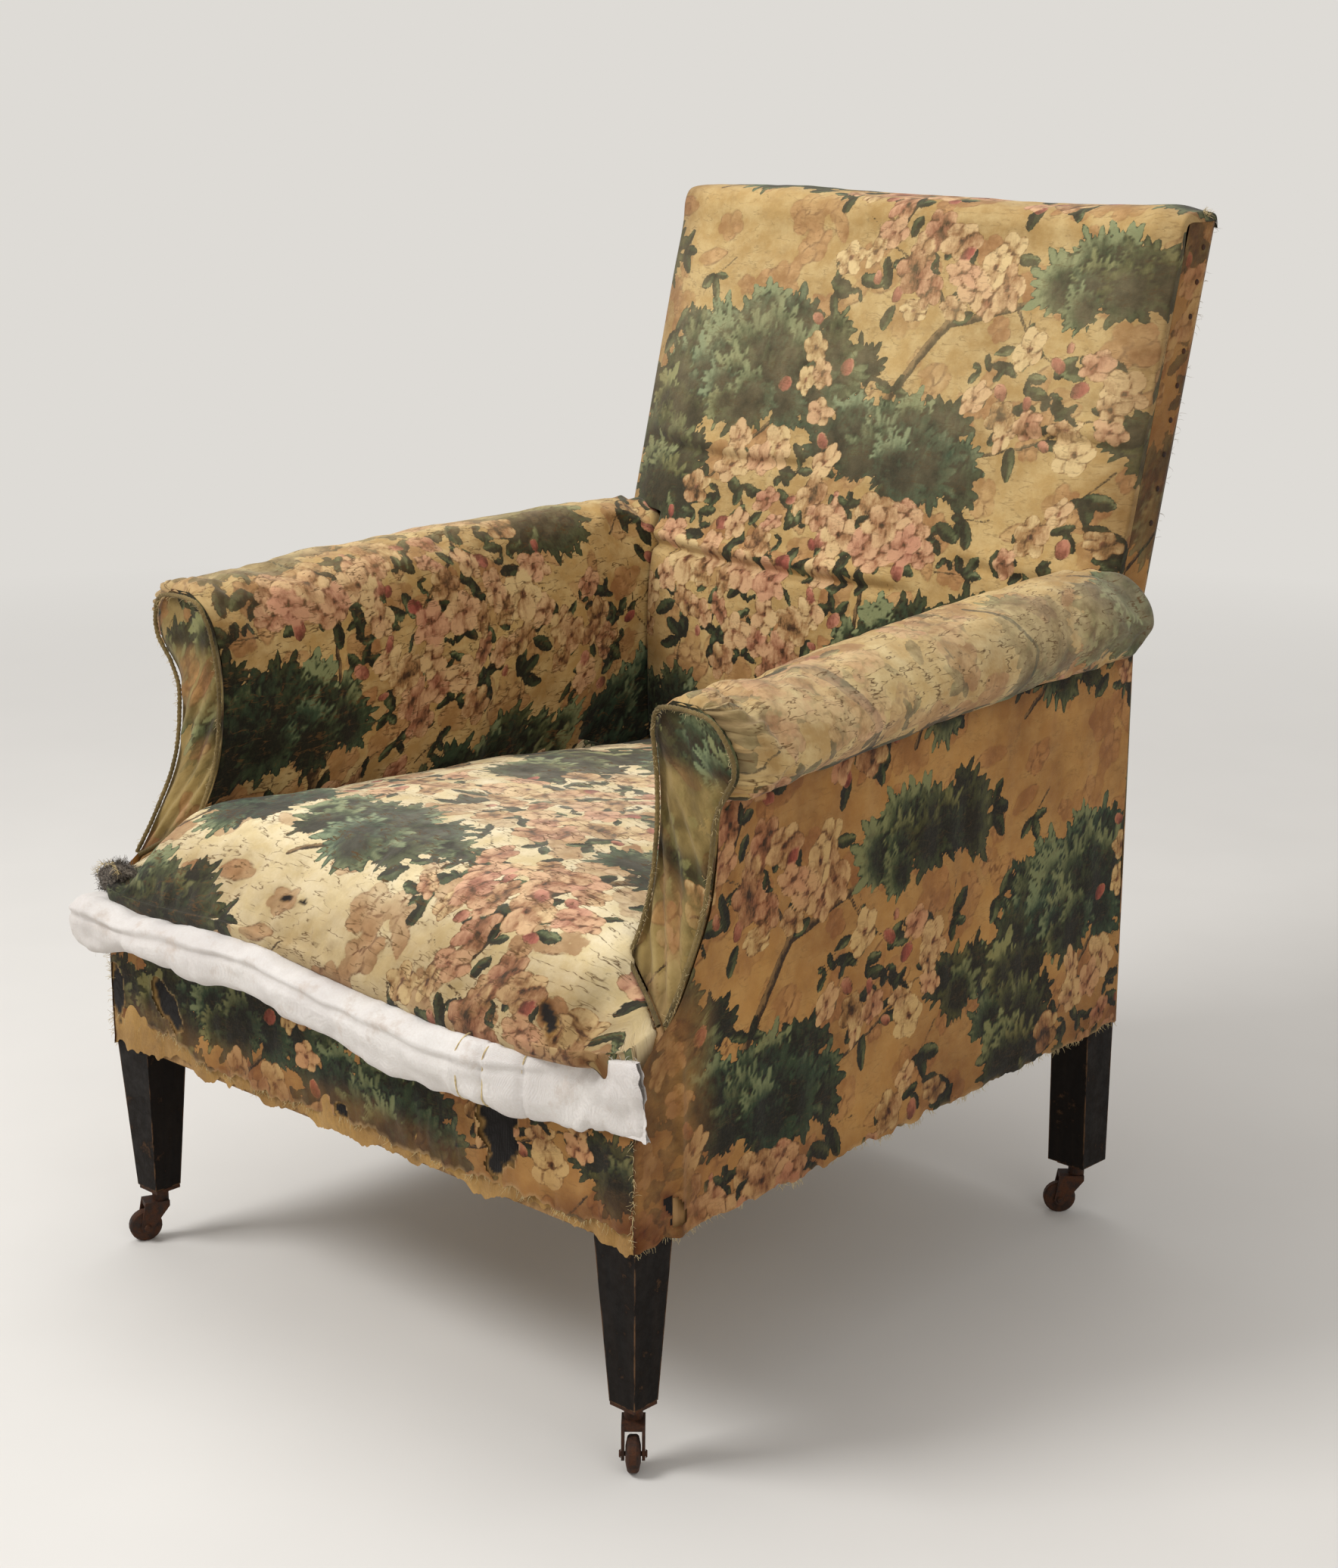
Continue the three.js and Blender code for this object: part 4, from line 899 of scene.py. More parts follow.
# Holes: place across, height, half width, half height, lean
BORDER_HOLES = [
    (0.180, 0.256, 0.021, 0.030, 0.25), (0.177, 0.219, 0.008, 0.007, 0.0), (-0.247, 0.249, 0.017, 0.019, 0.7),
    (-0.318, 0.246, 0.009, 0.026, 0.1), (-0.010, 0.214, 0.010, 0.007, 0.0),
]
SIDE_HOLES = [(0.041, 0.217, 0.007, 0.009, 0.9), (0.050, 0.204, 0.008, 0.004, 0.0)]
SEAT_TEARS = [
    (0.249, 0.363, 0.006, 0.010, 0.9), (-0.066, 0.386, 0.006, 0.002, 0), (-0.044, 0.388, 0.004, 0.0015, 0),
]


def hole_depth(x, z, holes):
    """How far inside a hole with a ragged edge each point is, in shares of its size."""
    depth = np.full(x.shape, -1.0)
    for cx, cz, wide, tall, lean in holes:
        dx, dz = (x - cx) / wide, (z - cz) / tall
        depth = np.maximum(depth, 1 - np.hypot(dx + lean * dz, dz))
    return depth + 0.30 * rough(x, z, 0.012, 81)


def facing_foot(far):
    """The height of an arm facing's slanting lower edge, by distance from the chair's middle."""
    return np.interp(far, [arm_inner(ARM_RAKE), half_width(ARM_RAKE)], FACING_FOOT)


# The seat's front lip, from under the roll: how far forward each row is, and how far above the roll's top
SEAT_LIP = [(-0.010, -0.008), (-0.020, -0.005), (-0.0265, -0.002), (-0.029, 0.004), (-0.0292, 0.011)]
SEAT_ROWS = (-0.0240, -0.0120, 0.0100, 0.0380, 0.075, 0.13, 0.20, 0.30, 0.42, 0.52)


def seat():
    """One cover from under the front lip to the back, with a wing in front of each arm."""
    half = HALF_FRONT - 0.0028
    x = np.linspace(-half, half, count(2 * half, FINE))
    far = np.abs(x)
    inner = float(arm_inner(0.03))
    wing = smoothstep(inner - 0.014, inner + 0.016, far)
    foot = facing_foot(far)
    wing_back = arm_front(foot) + 0.003
    sides = (np.minimum(far, inner) / inner) ** 3
    low, side = 0.016 * sides, 0.042 * sides
    lid = roll_top(x)
    recede = mix(1, 0.12, smoothstep(0.285, half - 0.004, far))
    corner = smoothstep(0.296, half - 0.006, far)
    control = []

    def row(y, z):
        control.append(np.stack(np.broadcast_arrays(x, y, z), axis=1))

    for k, (y, rise) in enumerate(SEAT_LIP):
        row(y * recede, mix(lid + rise, BORDER_TOP - 0.006 + 0.008 * k, corner))
    for y in SEAT_ROWS:
        middle = seat_top(y) - mix(low, side, smoothstep(0.03, 0.2, y))
        y = y * recede if y < 0 else y
        share = smoothstep(-0.034 * recede, wing_back, y)
        row(y, mix(middle, mix(lid + 0.006, foot - 0.0015, share), wing))
    row(0.590, SEAT_REAR - side)
    row(0.597, SEAT_REAR - 0.012 - side)
    points = smooth_rows(np.array(control), count(0.74, FINE))
    v = run_lengths(points, 0)
    u, y = points[..., 0], points[..., 1]
    cloth = np.stack([u, v], axis=2)
    edge = np.minimum(np.minimum(half - np.abs(u), 0.60 - y), v - 0.02)
    points = points + settle(points, edge < 0.02, 2.2, 0.02, 0.007)
    broad = 0.0030 * noise(u, y, 0.16, 11) + 0.0018 * rough(u, y, 0.07, 12)
    pulls = 0.0016 * noise(u * 0.35, y, 0.020, 13) * smoothstep(0.05, 0.2, y)
    lip = 0.0022 * noise(u, y * 0.3, 0.030, 14) * (1 - smoothstep(0.0, 0.08, y))
    points = push(points, (broad + pulls + lip) * smoothstep(0.02, 0.06, v) * smoothstep(0, 0.02, edge))
    limit = arm_inner(np.maximum(y, 0)) - 0.0022
    past = (y > wing_back) & (np.abs(u) > limit)
    points[..., 0] = np.where(past, np.sign(u) * limit, points[..., 0])
    turned_down = smoothstep(half - 0.004, half, np.abs(u)) * (y < wing_back)
    points[..., 2] = mix(points[..., 2], np.minimum(points[..., 2], BORDER_TOP + 0.010), turned_down)
    depth = hole_depth(u, points[..., 2], SEAT_TEARS)
    depth = np.where(y < 0.02, depth, -1)
    # Dirt and painted shade: the front lip is darker, partly dirt and partly painted shade on its front face,
    # and the rear, the sides and the edges of the tears are darker too
    front = 1 - smoothstep(-0.02, 0.05, y)
    dirt_and_shade = 0.06 + 0.72 * front + 0.25 * smoothstep(0.5, 0.6, y)
    dirt_and_shade += 0.18 * smoothstep(inner - 0.03, half, np.abs(u)) + 0.4 * smoothstep(-0.5, 0, depth)
    fade_and_highlight = 0.22 * hump(u, 0, 0.2) * hump(y, 0.25, 0.2) * (1 - front) + 0.04
    # Painted deep shade inside the tears and at the torn left front corner
    ragged = smoothstep(-0.24, -0.33, u + 0.02 * noise(u, y, 0.02, 15)) * smoothstep(0.03, 0.0, y)
    dark = np.maximum(smoothstep(-0.05, 0.15, depth), 0.75 * ragged)
    wear = wear_and_painted_light_marks(y.shape, dirt_and_shade, fade_and_highlight, dark)
    cloth = cloth + [0.155, 0.505]
    piece = cloth_piece("seat_cover", points, cloth, seat_cloth, "chintz", "seat_pad", wear=wear)


# The inside back's rows: heights up its face, then shares of the way over its top and up to it
BACK_HEIGHTS = (0.352, 0.42, 0.50, 0.56, 0.60, 0.65, 0.72, 0.78, 0.84, 0.885)
BACK_OVER = ((0.06, 0.62), (0.20, 0.93), (0.50, 1.0), (0.82, 0.98), (0.96, 0.75), (1.0, 0.2))


def inside_back():
    """A full and crowned cover, over the top and round both edges."""
    wide = HALF_BACK + 3.3 * MM
    turn = 0.010
    s = np.linspace(-(wide + turn), wide + turn, count(2 * (wide + turn), FINE))
    x = np.clip(s, -wide, wide)
    share = np.abs(x) / wide
    crown = mix(BACK_EDGE, BACK_CROWN, 1 - share**6)
    wrap = np.clip(np.abs(s) - wide, 0, turn) / turn
    control = []
    base_top = BACK_TOP + 0.0010
    for z in BACK_HEIGHTS:
        shoulder = min(1, (CROWN_TOP - z) / 0.07)
        depth = mix(0.3 * crown, crown, math.sqrt(shoulder)) * (1 - wrap)
        control.append(np.stack(np.broadcast_arrays(x, post_front(z) - 0.0003 - depth, z), axis=1))
    top = CROWN_TOP - 0.003 * share**6
    rear = float(rear_face(BACK_TOP)) + 0.0033
    front = control[-1][:, 1]
    for over, rise in BACK_OVER:
        z = mix(BACK_HEIGHTS[-1] if over < 0.9 else 0.905, top, rise)
        z = mix(z, np.minimum(z, base_top - 0.004), wrap)
        control.append(np.stack([x, mix(front, rear, over), z], axis=1))
    points = smooth_rows(np.array(control), count(0.72, FINE))
    v = run_lengths(points, 0)
    u = np.broadcast_to(s, v.shape)
    z = points[..., 2]
    broad = 0.0035 * noise(u, v, 0.17, 21) + 0.0016 * rough(u, v, 0.06, 22)
    face = smoothstep(wide + 0.002, wide - 0.03, np.abs(u))
    edges = np.minimum(wide - np.abs(u), 0.64 - v)
    points = points + settle(points, edges < 0.008, 1.6, 0.015, 0.006) * smoothstep(0.02, 0.08, v)[..., None]
    points = push(points, broad * face * smoothstep(0.71, 0.60, v) + tucks(u, v))
    rise = np.clip((z - base_top) / (top.max() - base_top), 0, 1)
    corner = 0.007 * (1 - np.sqrt(1 - rise**2))
    points[..., 0] -= np.sign(u) * corner * smoothstep(wide - 0.03, wide, np.abs(u)) * (1 - wrap)
    narrow = arm_inner(post_front(0.4)) - 0.002
    between_arms = z < float(arm_top(DEPTH)) - 0.010
    points[..., 0] = np.where(between_arms, np.clip(points[..., 0], -narrow, narrow), points[..., 0])
    # Darker at the side edges and towards the seat
    dirt_and_shade = 0.15 + 0.55 * smoothstep(wide - 0.05, wide + 0.005, np.abs(u)) + 0.4 * smoothstep(0.2, 0.05, v)
    wear = wear_and_painted_light_marks(v.shape, dirt_and_shade, 0.25 * hump(v, 0.45, 0.15))
    cloth = np.stack([u, v], axis=2) + [0.30, 0.02]
    piece = cloth_piece(
        "inside_back_cover", points, cloth, inside_cloth, "chintz", "inside_back_pad", wear=wear,
    )


# Each fold of the inside back: where it starts and ends, its height, how far it bows down, how deep it is
TUCKS = [
    (-0.290, 0.115, 0.232, 0.006, 0.0080),
    (-0.290, -0.030, 0.335, 0.008, 0.0042),
    (0.170, 0.296, 0.378, -0.004, 0.0048),
    (-0.050, 0.260, 0.140, 0.010, 0.0030),
    (0.130, 0.296, 0.262, 0.006, 0.0030),
]


def tucks(u, v):
    """Folds across the inside back, where the cover is pulled between its stuffing, and an upright one."""
    depth = np.zeros(u.shape)
    for start, end, height, bow, deep in TUCKS:
        share = np.clip((u - start) / (end - start), 0, 1)
        away = v - (height - bow * np.sin(math.pi * share) - 0.006 * share)
        strength = smoothstep(0, 0.15, share) * smoothstep(1, 0.8, share)
        depth += deep * strength * (0.60 * hump(away, 0.011, 0.008) - hump(away, 0, 0.0045))
    return depth + 0.0022 * hump(u, 0.215, 0.006) * smoothstep(0.36, 0.38, v) * smoothstep(0.46, 0.43, v)


# Points round an arm, up its inside face and over the roll to the crease: how far out from its outer face,
# how far below its top, and what share of the roll's overhang they take
ARM_ROUND = [
    (-ARM_THICK, 0.352 - ARM_TOP, 0), (-0.0570, 0.44 - ARM_TOP, 0), (-0.0565, -0.080, 0),
    (-ARM_THICK, -0.042, 0), (-0.047, -0.016, 0), (-0.029, -0.002, 0), (-0.011, 0, 0), (0, -0.005, 0.4),
    (0, -0.021, 0.8),
    (0, -0.042, 1.0), (0, -0.058, 0.90), (0, -0.0715, 0.62), (0, -0.0765, 0.30), (0, -0.0770, 0.02),
]
ARM_PRINT = {-1: [0.46, 0.05], 1: [0.20, 0.33]}


def arm(name, side):
    """A stuffed inside face that rolls over to a crease outside, gathered in front and closed at the rear."""
    stations = np.linspace(0, 1, count(0.56))
    control = []
    for offset, drop, out in ARM_ROUND:
        z = arm_top(mix(ARM_RAKE, ARM_REAR, stations)) + drop
        rear = mix(0.640, 0.664, min(1, out + 0.3)) if out else ARM_REAR
        y = mix(arm_front(np.minimum(z, ARM_TOP)) + BEHIND_FACING, rear, stations)
        slim = 0.45 * smoothstep(0.955, 1.0, stations) ** 2 if out else 0
        z = mix(arm_top(y) + drop, arm_top(y) - 0.040, slim)
        x = half_width(y) + offset + overhang(y) * out * (1 - slim)
        control.append(np.stack([x, y, z], axis=1))
    points = smooth_rows(np.array(control), count(0.47))
    v = run_lengths(points, 0)
    u = run_lengths(points, 1)
    edge = np.minimum(np.minimum(u, u[:, -1:] - u), np.minimum(v, v[-1:] - v))
    points = points + settle(points, edge < 0.012, -1.4, 0.015, 0.005)
    level = np.minimum(points[..., 2], FACING_TOP - 0.002)
    inmost = half_width(ARM_RAKE) + facing_inner(level) + 0.001
    outmost = half_width(ARM_RAKE) + facing_outer(level) - 0.001
    outline = np.clip(points[..., 0], inmost, outmost)
    round_over = mix(0.008, 0.030, smoothstep(0.30, 0.38, v))
    gather = 1 - np.sqrt(np.clip(1 - (1 - np.clip(u / round_over, 0, 1)) ** 2, 0, 1))
    points[..., 0] = mix(points[..., 0], outline, gather)
    points[..., 2] = mix(points[..., 2], level, gather)
    y = points[..., 1]
    broad = 0.0022 * noise(y, v, 0.12, 31 + side) + 0.0014 * rough(y, v, 0.045, 33 + side)
    outward = smoothstep(0.26, 0.32, v)
    pleats = 0.0024 * np.cos(v * 2 * math.pi / 0.012 + 3 * noise(y, v, 0.02, 35)) * hump(u, 0.012, 0.014)
    slack = 0.0016 * noise(y * 0.5, v, 0.03, 37) * outward
    points = push(points, -((broad + slack) * smoothstep(0, 0.01, u) + pleats * outward))
    points[..., 0] *= side
    # Darker towards the front and the foot, with painted shade along the crease under the roll
    dirt_and_shade = 0.2 + 0.45 * np.exp(-u / 0.03)
    dirt_and_shade = dirt_and_shade + 0.5 * smoothstep(0.435, 0.465, v) + 0.3 * smoothstep(0.12, 0.02, v)
    # The roll's top is faded and its print rubbed; the fade there is partly a painted highlight
    top = hump(v, 0.33, 0.06)
    wear = wear_and_painted_light_marks(v.shape, dirt_and_shade, 0.35 * top, 0, 0.80 * top * smoothstep(0.54, 0.44, u))
    cloth = np.stack([u * side, v], axis=2)

    rim = points[:, -1:]
    heart = rim[v[:, -1] > 0.30].mean(axis=0, keepdims=True)
    shares = np.array([[0.10, 0.25, 0.50, 0.75, 0.98]])
    closed = mix(rim, heart, shares[..., None])
    closed[..., 1] += 0.004 * np.sqrt(shares)
    inward = np.linalg.norm(heart - rim, axis=2) * shares
    points = np.concatenate([points, closed], axis=1)
    cloth = np.concatenate([cloth, cloth[:, -1:] + np.stack([inward * side, 0 * inward], axis=2)], axis=1)
    wear = np.concatenate([wear, np.repeat(wear[:, -1:], shares.size, axis=1)], axis=1)
    points, cloth, wear = turned_out(side > 0, points, cloth + ARM_PRINT[side], wear)
    piece = cloth_piece(f"arm_cover_{name}", points, cloth, arm_cloth, "chintz", f"arm_pad_{name}", wear=wear)


# How far out from the arm's outer face a facing's two sides are, by height
facing_inner = profile([
    (SEAT_FRONT, -ARM_THICK + 0.001), (ARM_TOP - 0.039, -ARM_THICK + 0.001),
    (ARM_TOP - 0.017, -ARM_THICK + 0.009), (FACING_TOP, -ARM_THICK + 0.025),
])
facing_outer = profile([
    (SEAT_FRONT, 0.006), (crease(ARM_RAKE) - 0.012, 0.006), (crease(ARM_RAKE) + 0.022, 0.027),
    (ARM_TOP - 0.029, 0.024), (ARM_TOP - 0.013, 0.009), (FACING_TOP, -0.005),
])


def facing_point(share, rise, setback):
    """A place on a facing, by its share of the way out and up."""
    z = mix(mix(*FACING_FOOT, share), FACING_TOP, rise)
    x = half_width(ARM_RAKE) + mix(facing_inner(z), facing_outer(z), share)
    return np.stack([x, arm_front(z) + setback, z], axis=-1)


def facing(name, side):
    """The narrow stuffed panel on an arm's front, with slanting folds below its head."""
    share, rise = np.meshgrid(np.linspace(0, 1, count(0.10, 2 * MM)), np.linspace(0, 1, count(0.26, 2 * MM)))
    edge = np.minimum(np.minimum(share, 1 - share), np.minimum(rise, 1 - rise))
    points = facing_point(share, rise, 0)
    u = run_lengths(points, 1)
    v = run_lengths(points, 0)
    slant = (u * 0.9 + v * 0.62 + 0.006 * noise(u, v, 0.045, 44)) / 0.029
    folds = np.sin(2 * math.pi * slant) * (0.55 + 0.45 * noise(u, v, 0.04, 41)) * smoothstep(0.70, 0.48, rise)
    crumple = 0.0012 * rough(u, v, 0.02, 42) + 0.0015 * noise(u, v, 0.035, 43)
    puff = 0.0035 * smoothstep(0, 0.22, edge)
    points[..., 1] -= puff + (0.0042 * folds + crumple) * smoothstep(0, 0.08, edge) - 0.0032
    points[..., 0] *= side
    # Darker towards the edges; painted shade in the valleys of the folds, and painted highlight as fading on
    # their crests
    dirt_and_shade = 0.25 + 0.6 * smoothstep(0.08, 0, edge) + 0.40 * smoothstep(-0.1, -0.8, folds)
    head, waist = smoothstep(0.70, 0.80, rise), hump(rise, 0.42, 0.07)
    wear = wear_and_painted_light_marks(v.shape, dirt_and_shade, 0.30 * smoothstep(0.2, 0.9, folds), 0, 1 - 0.9 * np.maximum(head, waist))
    cloth = np.stack([u * side, v], axis=2) + [0.05, 0.22]
    points, cloth, wear = turned_out(side < 0, points, cloth, wear)
    piece = cloth_piece(
        f"facing_cover_{name}", points, cloth, facing_cloth, "chintz", f"arm_facing_{name}", wear=wear,
    )


def twisted_cord(name, route, radius, pitch, material, slot, *nodes):
    """A cord of two twisted strands along a route."""
    route = np.asarray(route, float)[:, None, :]
    centre = smooth_rows(route, count(run_lengths(route, 0)[-1, 0], 1.3 * MM))[:, 0]
    along = np.gradient(centre, axis=0)
    along /= np.linalg.norm(along, axis=1, keepdims=True)
    side = np.cross(along, [0.1, -1.0, 0.2])
    side /= np.linalg.norm(side, axis=1, keepdims=True)
    other = np.cross(along, side)
    length = run_lengths(centre[:, None], 0)
    angle = np.linspace(0, 2 * math.pi, 15)[None, :-1]
    shape = radius * (0.68 + 0.32 * np.abs(np.cos(angle - 2 * math.pi * length / pitch)))
    shape = shape * (1 + 0.12 * noise(length * 3, angle * 0.01, 0.01, 51))
    c, s = np.cos(angle)[..., None], np.sin(angle)[..., None]
    points = centre[:, None] + shape[..., None] * (c * side[:, None] + s * other[:, None])
    points = np.concatenate([points, points[:, :1]], axis=1)
    return plain_piece(name, points.reshape(-1, 3), grid_quads(*points.shape[:2]), material, slot, *nodes)


def piping(name, side):
    """The cord round a facing: across its foot, up its inner side and down its outer side."""
    rises = np.linspace(0.02, 0.97, 12)
    foot = facing_point(np.linspace(0.90, 0.10, 5), np.full(5, 0.004), -0.0022)
    inner = facing_point(np.full(12, 0.015), rises, -0.0012)
    outer = facing_point(np.full(12, 0.985), rises, -0.0012)[::-1]
    route = np.concatenate([foot, inner, outer])
    route[:, 0] *= side
    twisted_cord(
        f"facing_cord_{name}", route, 2.1 * MM, 8 * MM, cord_cloth, "piping_cord", f"facing_piping_{name}",
    )
    fray_edge(f"facing_fray_{name}", route[5:], (0.5 * side, -0.8, 0.1), 0.008, 57 + side, spacing=1.6 * MM)


def outside_arm(name, side):
    """A flat panel under the arm's roll, tacked beneath the rail, with a ragged lower edge."""
    rows, columns = count(0.345), count(0.69)
    rise, share = np.meshgrid(np.linspace(0, 1, rows), np.linspace(0, 1, columns), indexing="ij")
    z = mix(COVER_BOTTOM, crease(mix(0, DEPTH, share)) - 0.001, rise)
    front = mix(-0.0030, arm_front(z) + BEHIND_FACING, smoothstep(0.315, 0.372, z))
    y = mix(front, DEPTH - 0.001, share)
    points = np.stack([half_width(y) + 0.0010, y, z], axis=2)
    broad = 0.0018 * noise(y, z, 0.14, 61 + side) + 0.0010 * rough(y, z, 0.05, 63)
    pulls = 0.0008 * noise(y, z * 0.25, 0.020, 64)
    hold = smoothstep(0, 0.03, rise) * smoothstep(1, 0.96, rise)
    fold = 0.0022 * hump(y, 0.050, 0.004) * smoothstep(0.36, 0.30, z)
    points[..., 0] += 0.0022 + (broad + pulls) * hold + fold - 0.0020 * smoothstep(0.006, -0.003, y)
    points[..., 2] += 0.0030 * rough(y, y, 0.020, 65) * smoothstep(0.03, 0, rise)
    points[..., 0] *= side
    depth = hole_depth(y, z, SIDE_HOLES) if side > 0 else np.full(y.shape, -1.0)
    # Darker towards the front, the ragged foot and round the hole, with painted shade under the roll at the top
    dirt_and_shade = 0.35 + 0.5 * smoothstep(0.14, 0.0, y) + 0.4 * smoothstep(0.17, 0, rise)
    dirt_and_shade += 0.35 * smoothstep(0.93, 1, rise) + 0.6 * smoothstep(-1.0, 0, depth)
    fade_and_highlight = 0.9 * smoothstep(0.010, 0.003, rise) * smoothstep(-0.2, 0.3, noise(y, y, 0.03, 66))
    # Painted deep shade along the front edge below the seat
    dark = 0.6 * smoothstep(0.0015, -0.0025, y) * smoothstep(0.34, 0.30, z)
    rub = 0.8 * smoothstep(0.10, 0.04, y) * smoothstep(0.42, 0.36, z)
    wear = wear_and_painted_light_marks(y.shape, dirt_and_shade, fade_and_highlight, dark, rub)
    cloth = np.stack([y * side, z], axis=2) + ([0.35, 0.10] if side < 0 else [0.20, 0.10])
    points, cloth, wear = turned_out(side < 0, points, cloth, wear)
    piece = cloth_piece(
        f"outside_arm_cover_{name}", points, cloth, side_cloth, "chintz", f"outside_arm_{name}",
        keep=depth < 0 if side > 0 else None, wear=wear,
    )
    seam = points[: int(rows * 0.42) : 2, 0 if side > 0 else -1]
    fray_edge(f"side_fray_{name}", points[0, ::2], (0.4 * side, 0, -1), 0.008, 67 + side)
    fray_edge(f"corner_fray_{name}", seam, (0.5 * side, -0.6, 0), 0.010, 69 + side, spacing=1.8 * MM)


def outside_back():
    """One panel down the rear, turned round the uprights above the arms and nailed down their sides."""
    flange = POST_DEPTH
    wide = HALF_BACK + 2.0 * MM
    across = np.linspace(-(wide + flange), wide + flange, count(2 * (wide + flange), 4 * MM))
    heights = np.linspace(COVER_BOTTOM, BACK_TOP, count(BACK_TOP - COVER_BOTTOM, 4 * MM))
    z, across = np.meshgrid(heights, across, indexing="ij")
    far = np.abs(across)
    turned_in = np.clip(far - wide, 0, flange)
    turned_in = np.where(z < crease(DEPTH) + 0.002, np.minimum(turned_in, 0.002), turned_in)
    points = np.stack([np.clip(across, -wide, wide), rear_face(z) + 0.0020 - turned_in, z], axis=2)
    sag = 0.0018 * noise(across, z, 0.15, 71) + 0.001 * rough(across, z, 0.05, 72)
    sag += 0.0008 * noise(across * 0.3, z, 0.02, 73)
    points[..., 1] += sag * smoothstep(wide, wide - 0.03, far)
    # The strips turned round the uprights are darker, partly dirt and partly painted shade on those side faces,
    # and their print is rubbed
    side_strip = smoothstep(wide - 0.006, wide + 0.004, far)
    wear = wear_and_painted_light_marks(z.shape, 0.35 + 0.30 * side_strip, 0, 0, 0.5 * side_strip)
    cloth = np.stack([-across, z], axis=2) + [0.4, 0.0]
    points, cloth, wear = turned_out(True, points, cloth, wear)
    piece = cloth_piece(
        "outside_back_cover", points, cloth, side_cloth, "chintz", "outside_back_panel", wear=wear,
    )
    heights = np.linspace(arm_top(DEPTH) + 0.02, BACK_TOP, 40)
    nails = []
    for name, side in SIDES:
        edge = np.stack([np.full(40, side * (wide + 0.001)), rear_face(heights) + 0.001, heights], axis=1)
        way = (0.8 * side, 0.5, 0)
        fray_edge(f"back_fray_{name}", edge, way, 0.009, 75 + side, white_thread, spacing=5 * MM)
        corner = edge[-2:] + [[0, 0, 0.002], [0, -0.022, 0.006]]
        fray_edge(f"back_nub_{name}", corner, (0.8 * side, 0, 0.6), 0.010, 78 + side, spacing=0.25 * MM)
        for z in np.linspace(arm_top(DEPTH) + 0.035, BACK_TOP - 0.025, 9):
            nails.append(((side * (wide + 0.0005), float(rear_face(z)) - 0.010, z), side))
    nail_heads(nails)


def nail_heads(spots):
    """Small domed tacks that hold the side border of the back."""
    radius, dome, rings, around = 2.6 * MM, 1.2 * MM, 4, 12
    points, faces = [], []
    for (x, y, z), side in spots:
        faces += ring_faces(len(points), rings, around)
        for k in range(rings + 1):
            lift = 0.5 * math.pi * k / rings
            across = radius * max(0.03, math.cos(lift))
            for j in range(around):
                angle = 2 * math.pi * j / around
                out = side * dome * math.sin(lift)
                points.append((x + out, y + across * math.cos(angle), z + side * across * math.sin(angle)))
    plain_piece("border_nails", np.array(points), faces, rusted_iron, "rusted_iron")


def front_border():
    """The torn cloth down the front, and a second layer that shows through its holes."""
    half = HALF_FRONT + 0.0010
    rows, columns = count(BORDER_TOP - COVER_BOTTOM, 2.2 * MM), count(2 * half, 2.2 * MM)
    rise, x = np.meshgrid(np.linspace(0, 1, rows), np.linspace(-half, half, columns), indexing="ij")
    far = np.abs(x)
    for layer, under in enumerate((False, True)):
        bottom = COVER_BOTTOM + (0.004 if under else 0.015 + 0.016 * smoothstep(-0.1, -0.32, x))
        bottom = bottom + 0.006 * noise(x, x, 0.05, 82 + layer) + 0.0040 * rough(x, x, 0.012, 84 + layer)
        z = mix(bottom, BORDER_TOP, rise)
        wave = np.abs(0.0026 * rough(x, z * 0.5, 0.035, 88 + layer)) * smoothstep(0.9, 0.2, rise)
        y = (-0.0008 if under else -0.0028) - 0.0012 * noise(x, z, 0.06, 86 + layer) - wave
        points = np.stack([x, np.minimum(y, -0.0006 if under else -0.0014), z], axis=2)
        cloth = np.stack([x, z], axis=2) + [0.30, 0.15]
        depth = hole_depth(x, z, BORDER_HOLES)
        from_edge = np.minimum(z - bottom, -depth * 0.02)
        # Darker towards the bottom and the ends
        dirt_and_shade = 0.40 + 0.45 * smoothstep(0.35, 0, rise) + 0.5 * smoothstep(0.27, 0.33, far)
        fade_and_highlight = 0.9 * smoothstep(0.0030, 0.0008, from_edge)
        # Painted deep shade: on the layer underneath, where it shows through the holes, and on the cover, at
        # its ends by the corners
        dark = smoothstep(-0.1, 0.15, depth) if under else 0.55 * smoothstep(0.335, 0.345, far)
        wear = wear_and_painted_light_marks(x.shape, dirt_and_shade, fade_and_highlight, dark, 0.35 * smoothstep(0.4, 0.1, rise))
        if under:
            piece = cloth_piece("front_border_under", points, cloth, border_back, "chintz", wear=wear)
        else:
            piece = cloth_piece(
                "front_border_cover", points, cloth, side_cloth, "chintz", "front_border",
                keep=depth < 0, wear=wear,
            )
        if not under:
            fray_edge("border_fray", points[0, ::2], (0, -0.3, -1), 0.010, 82)


# The places of three ties round the calico roll
TIES = (0.176, 0.203, 0.236)


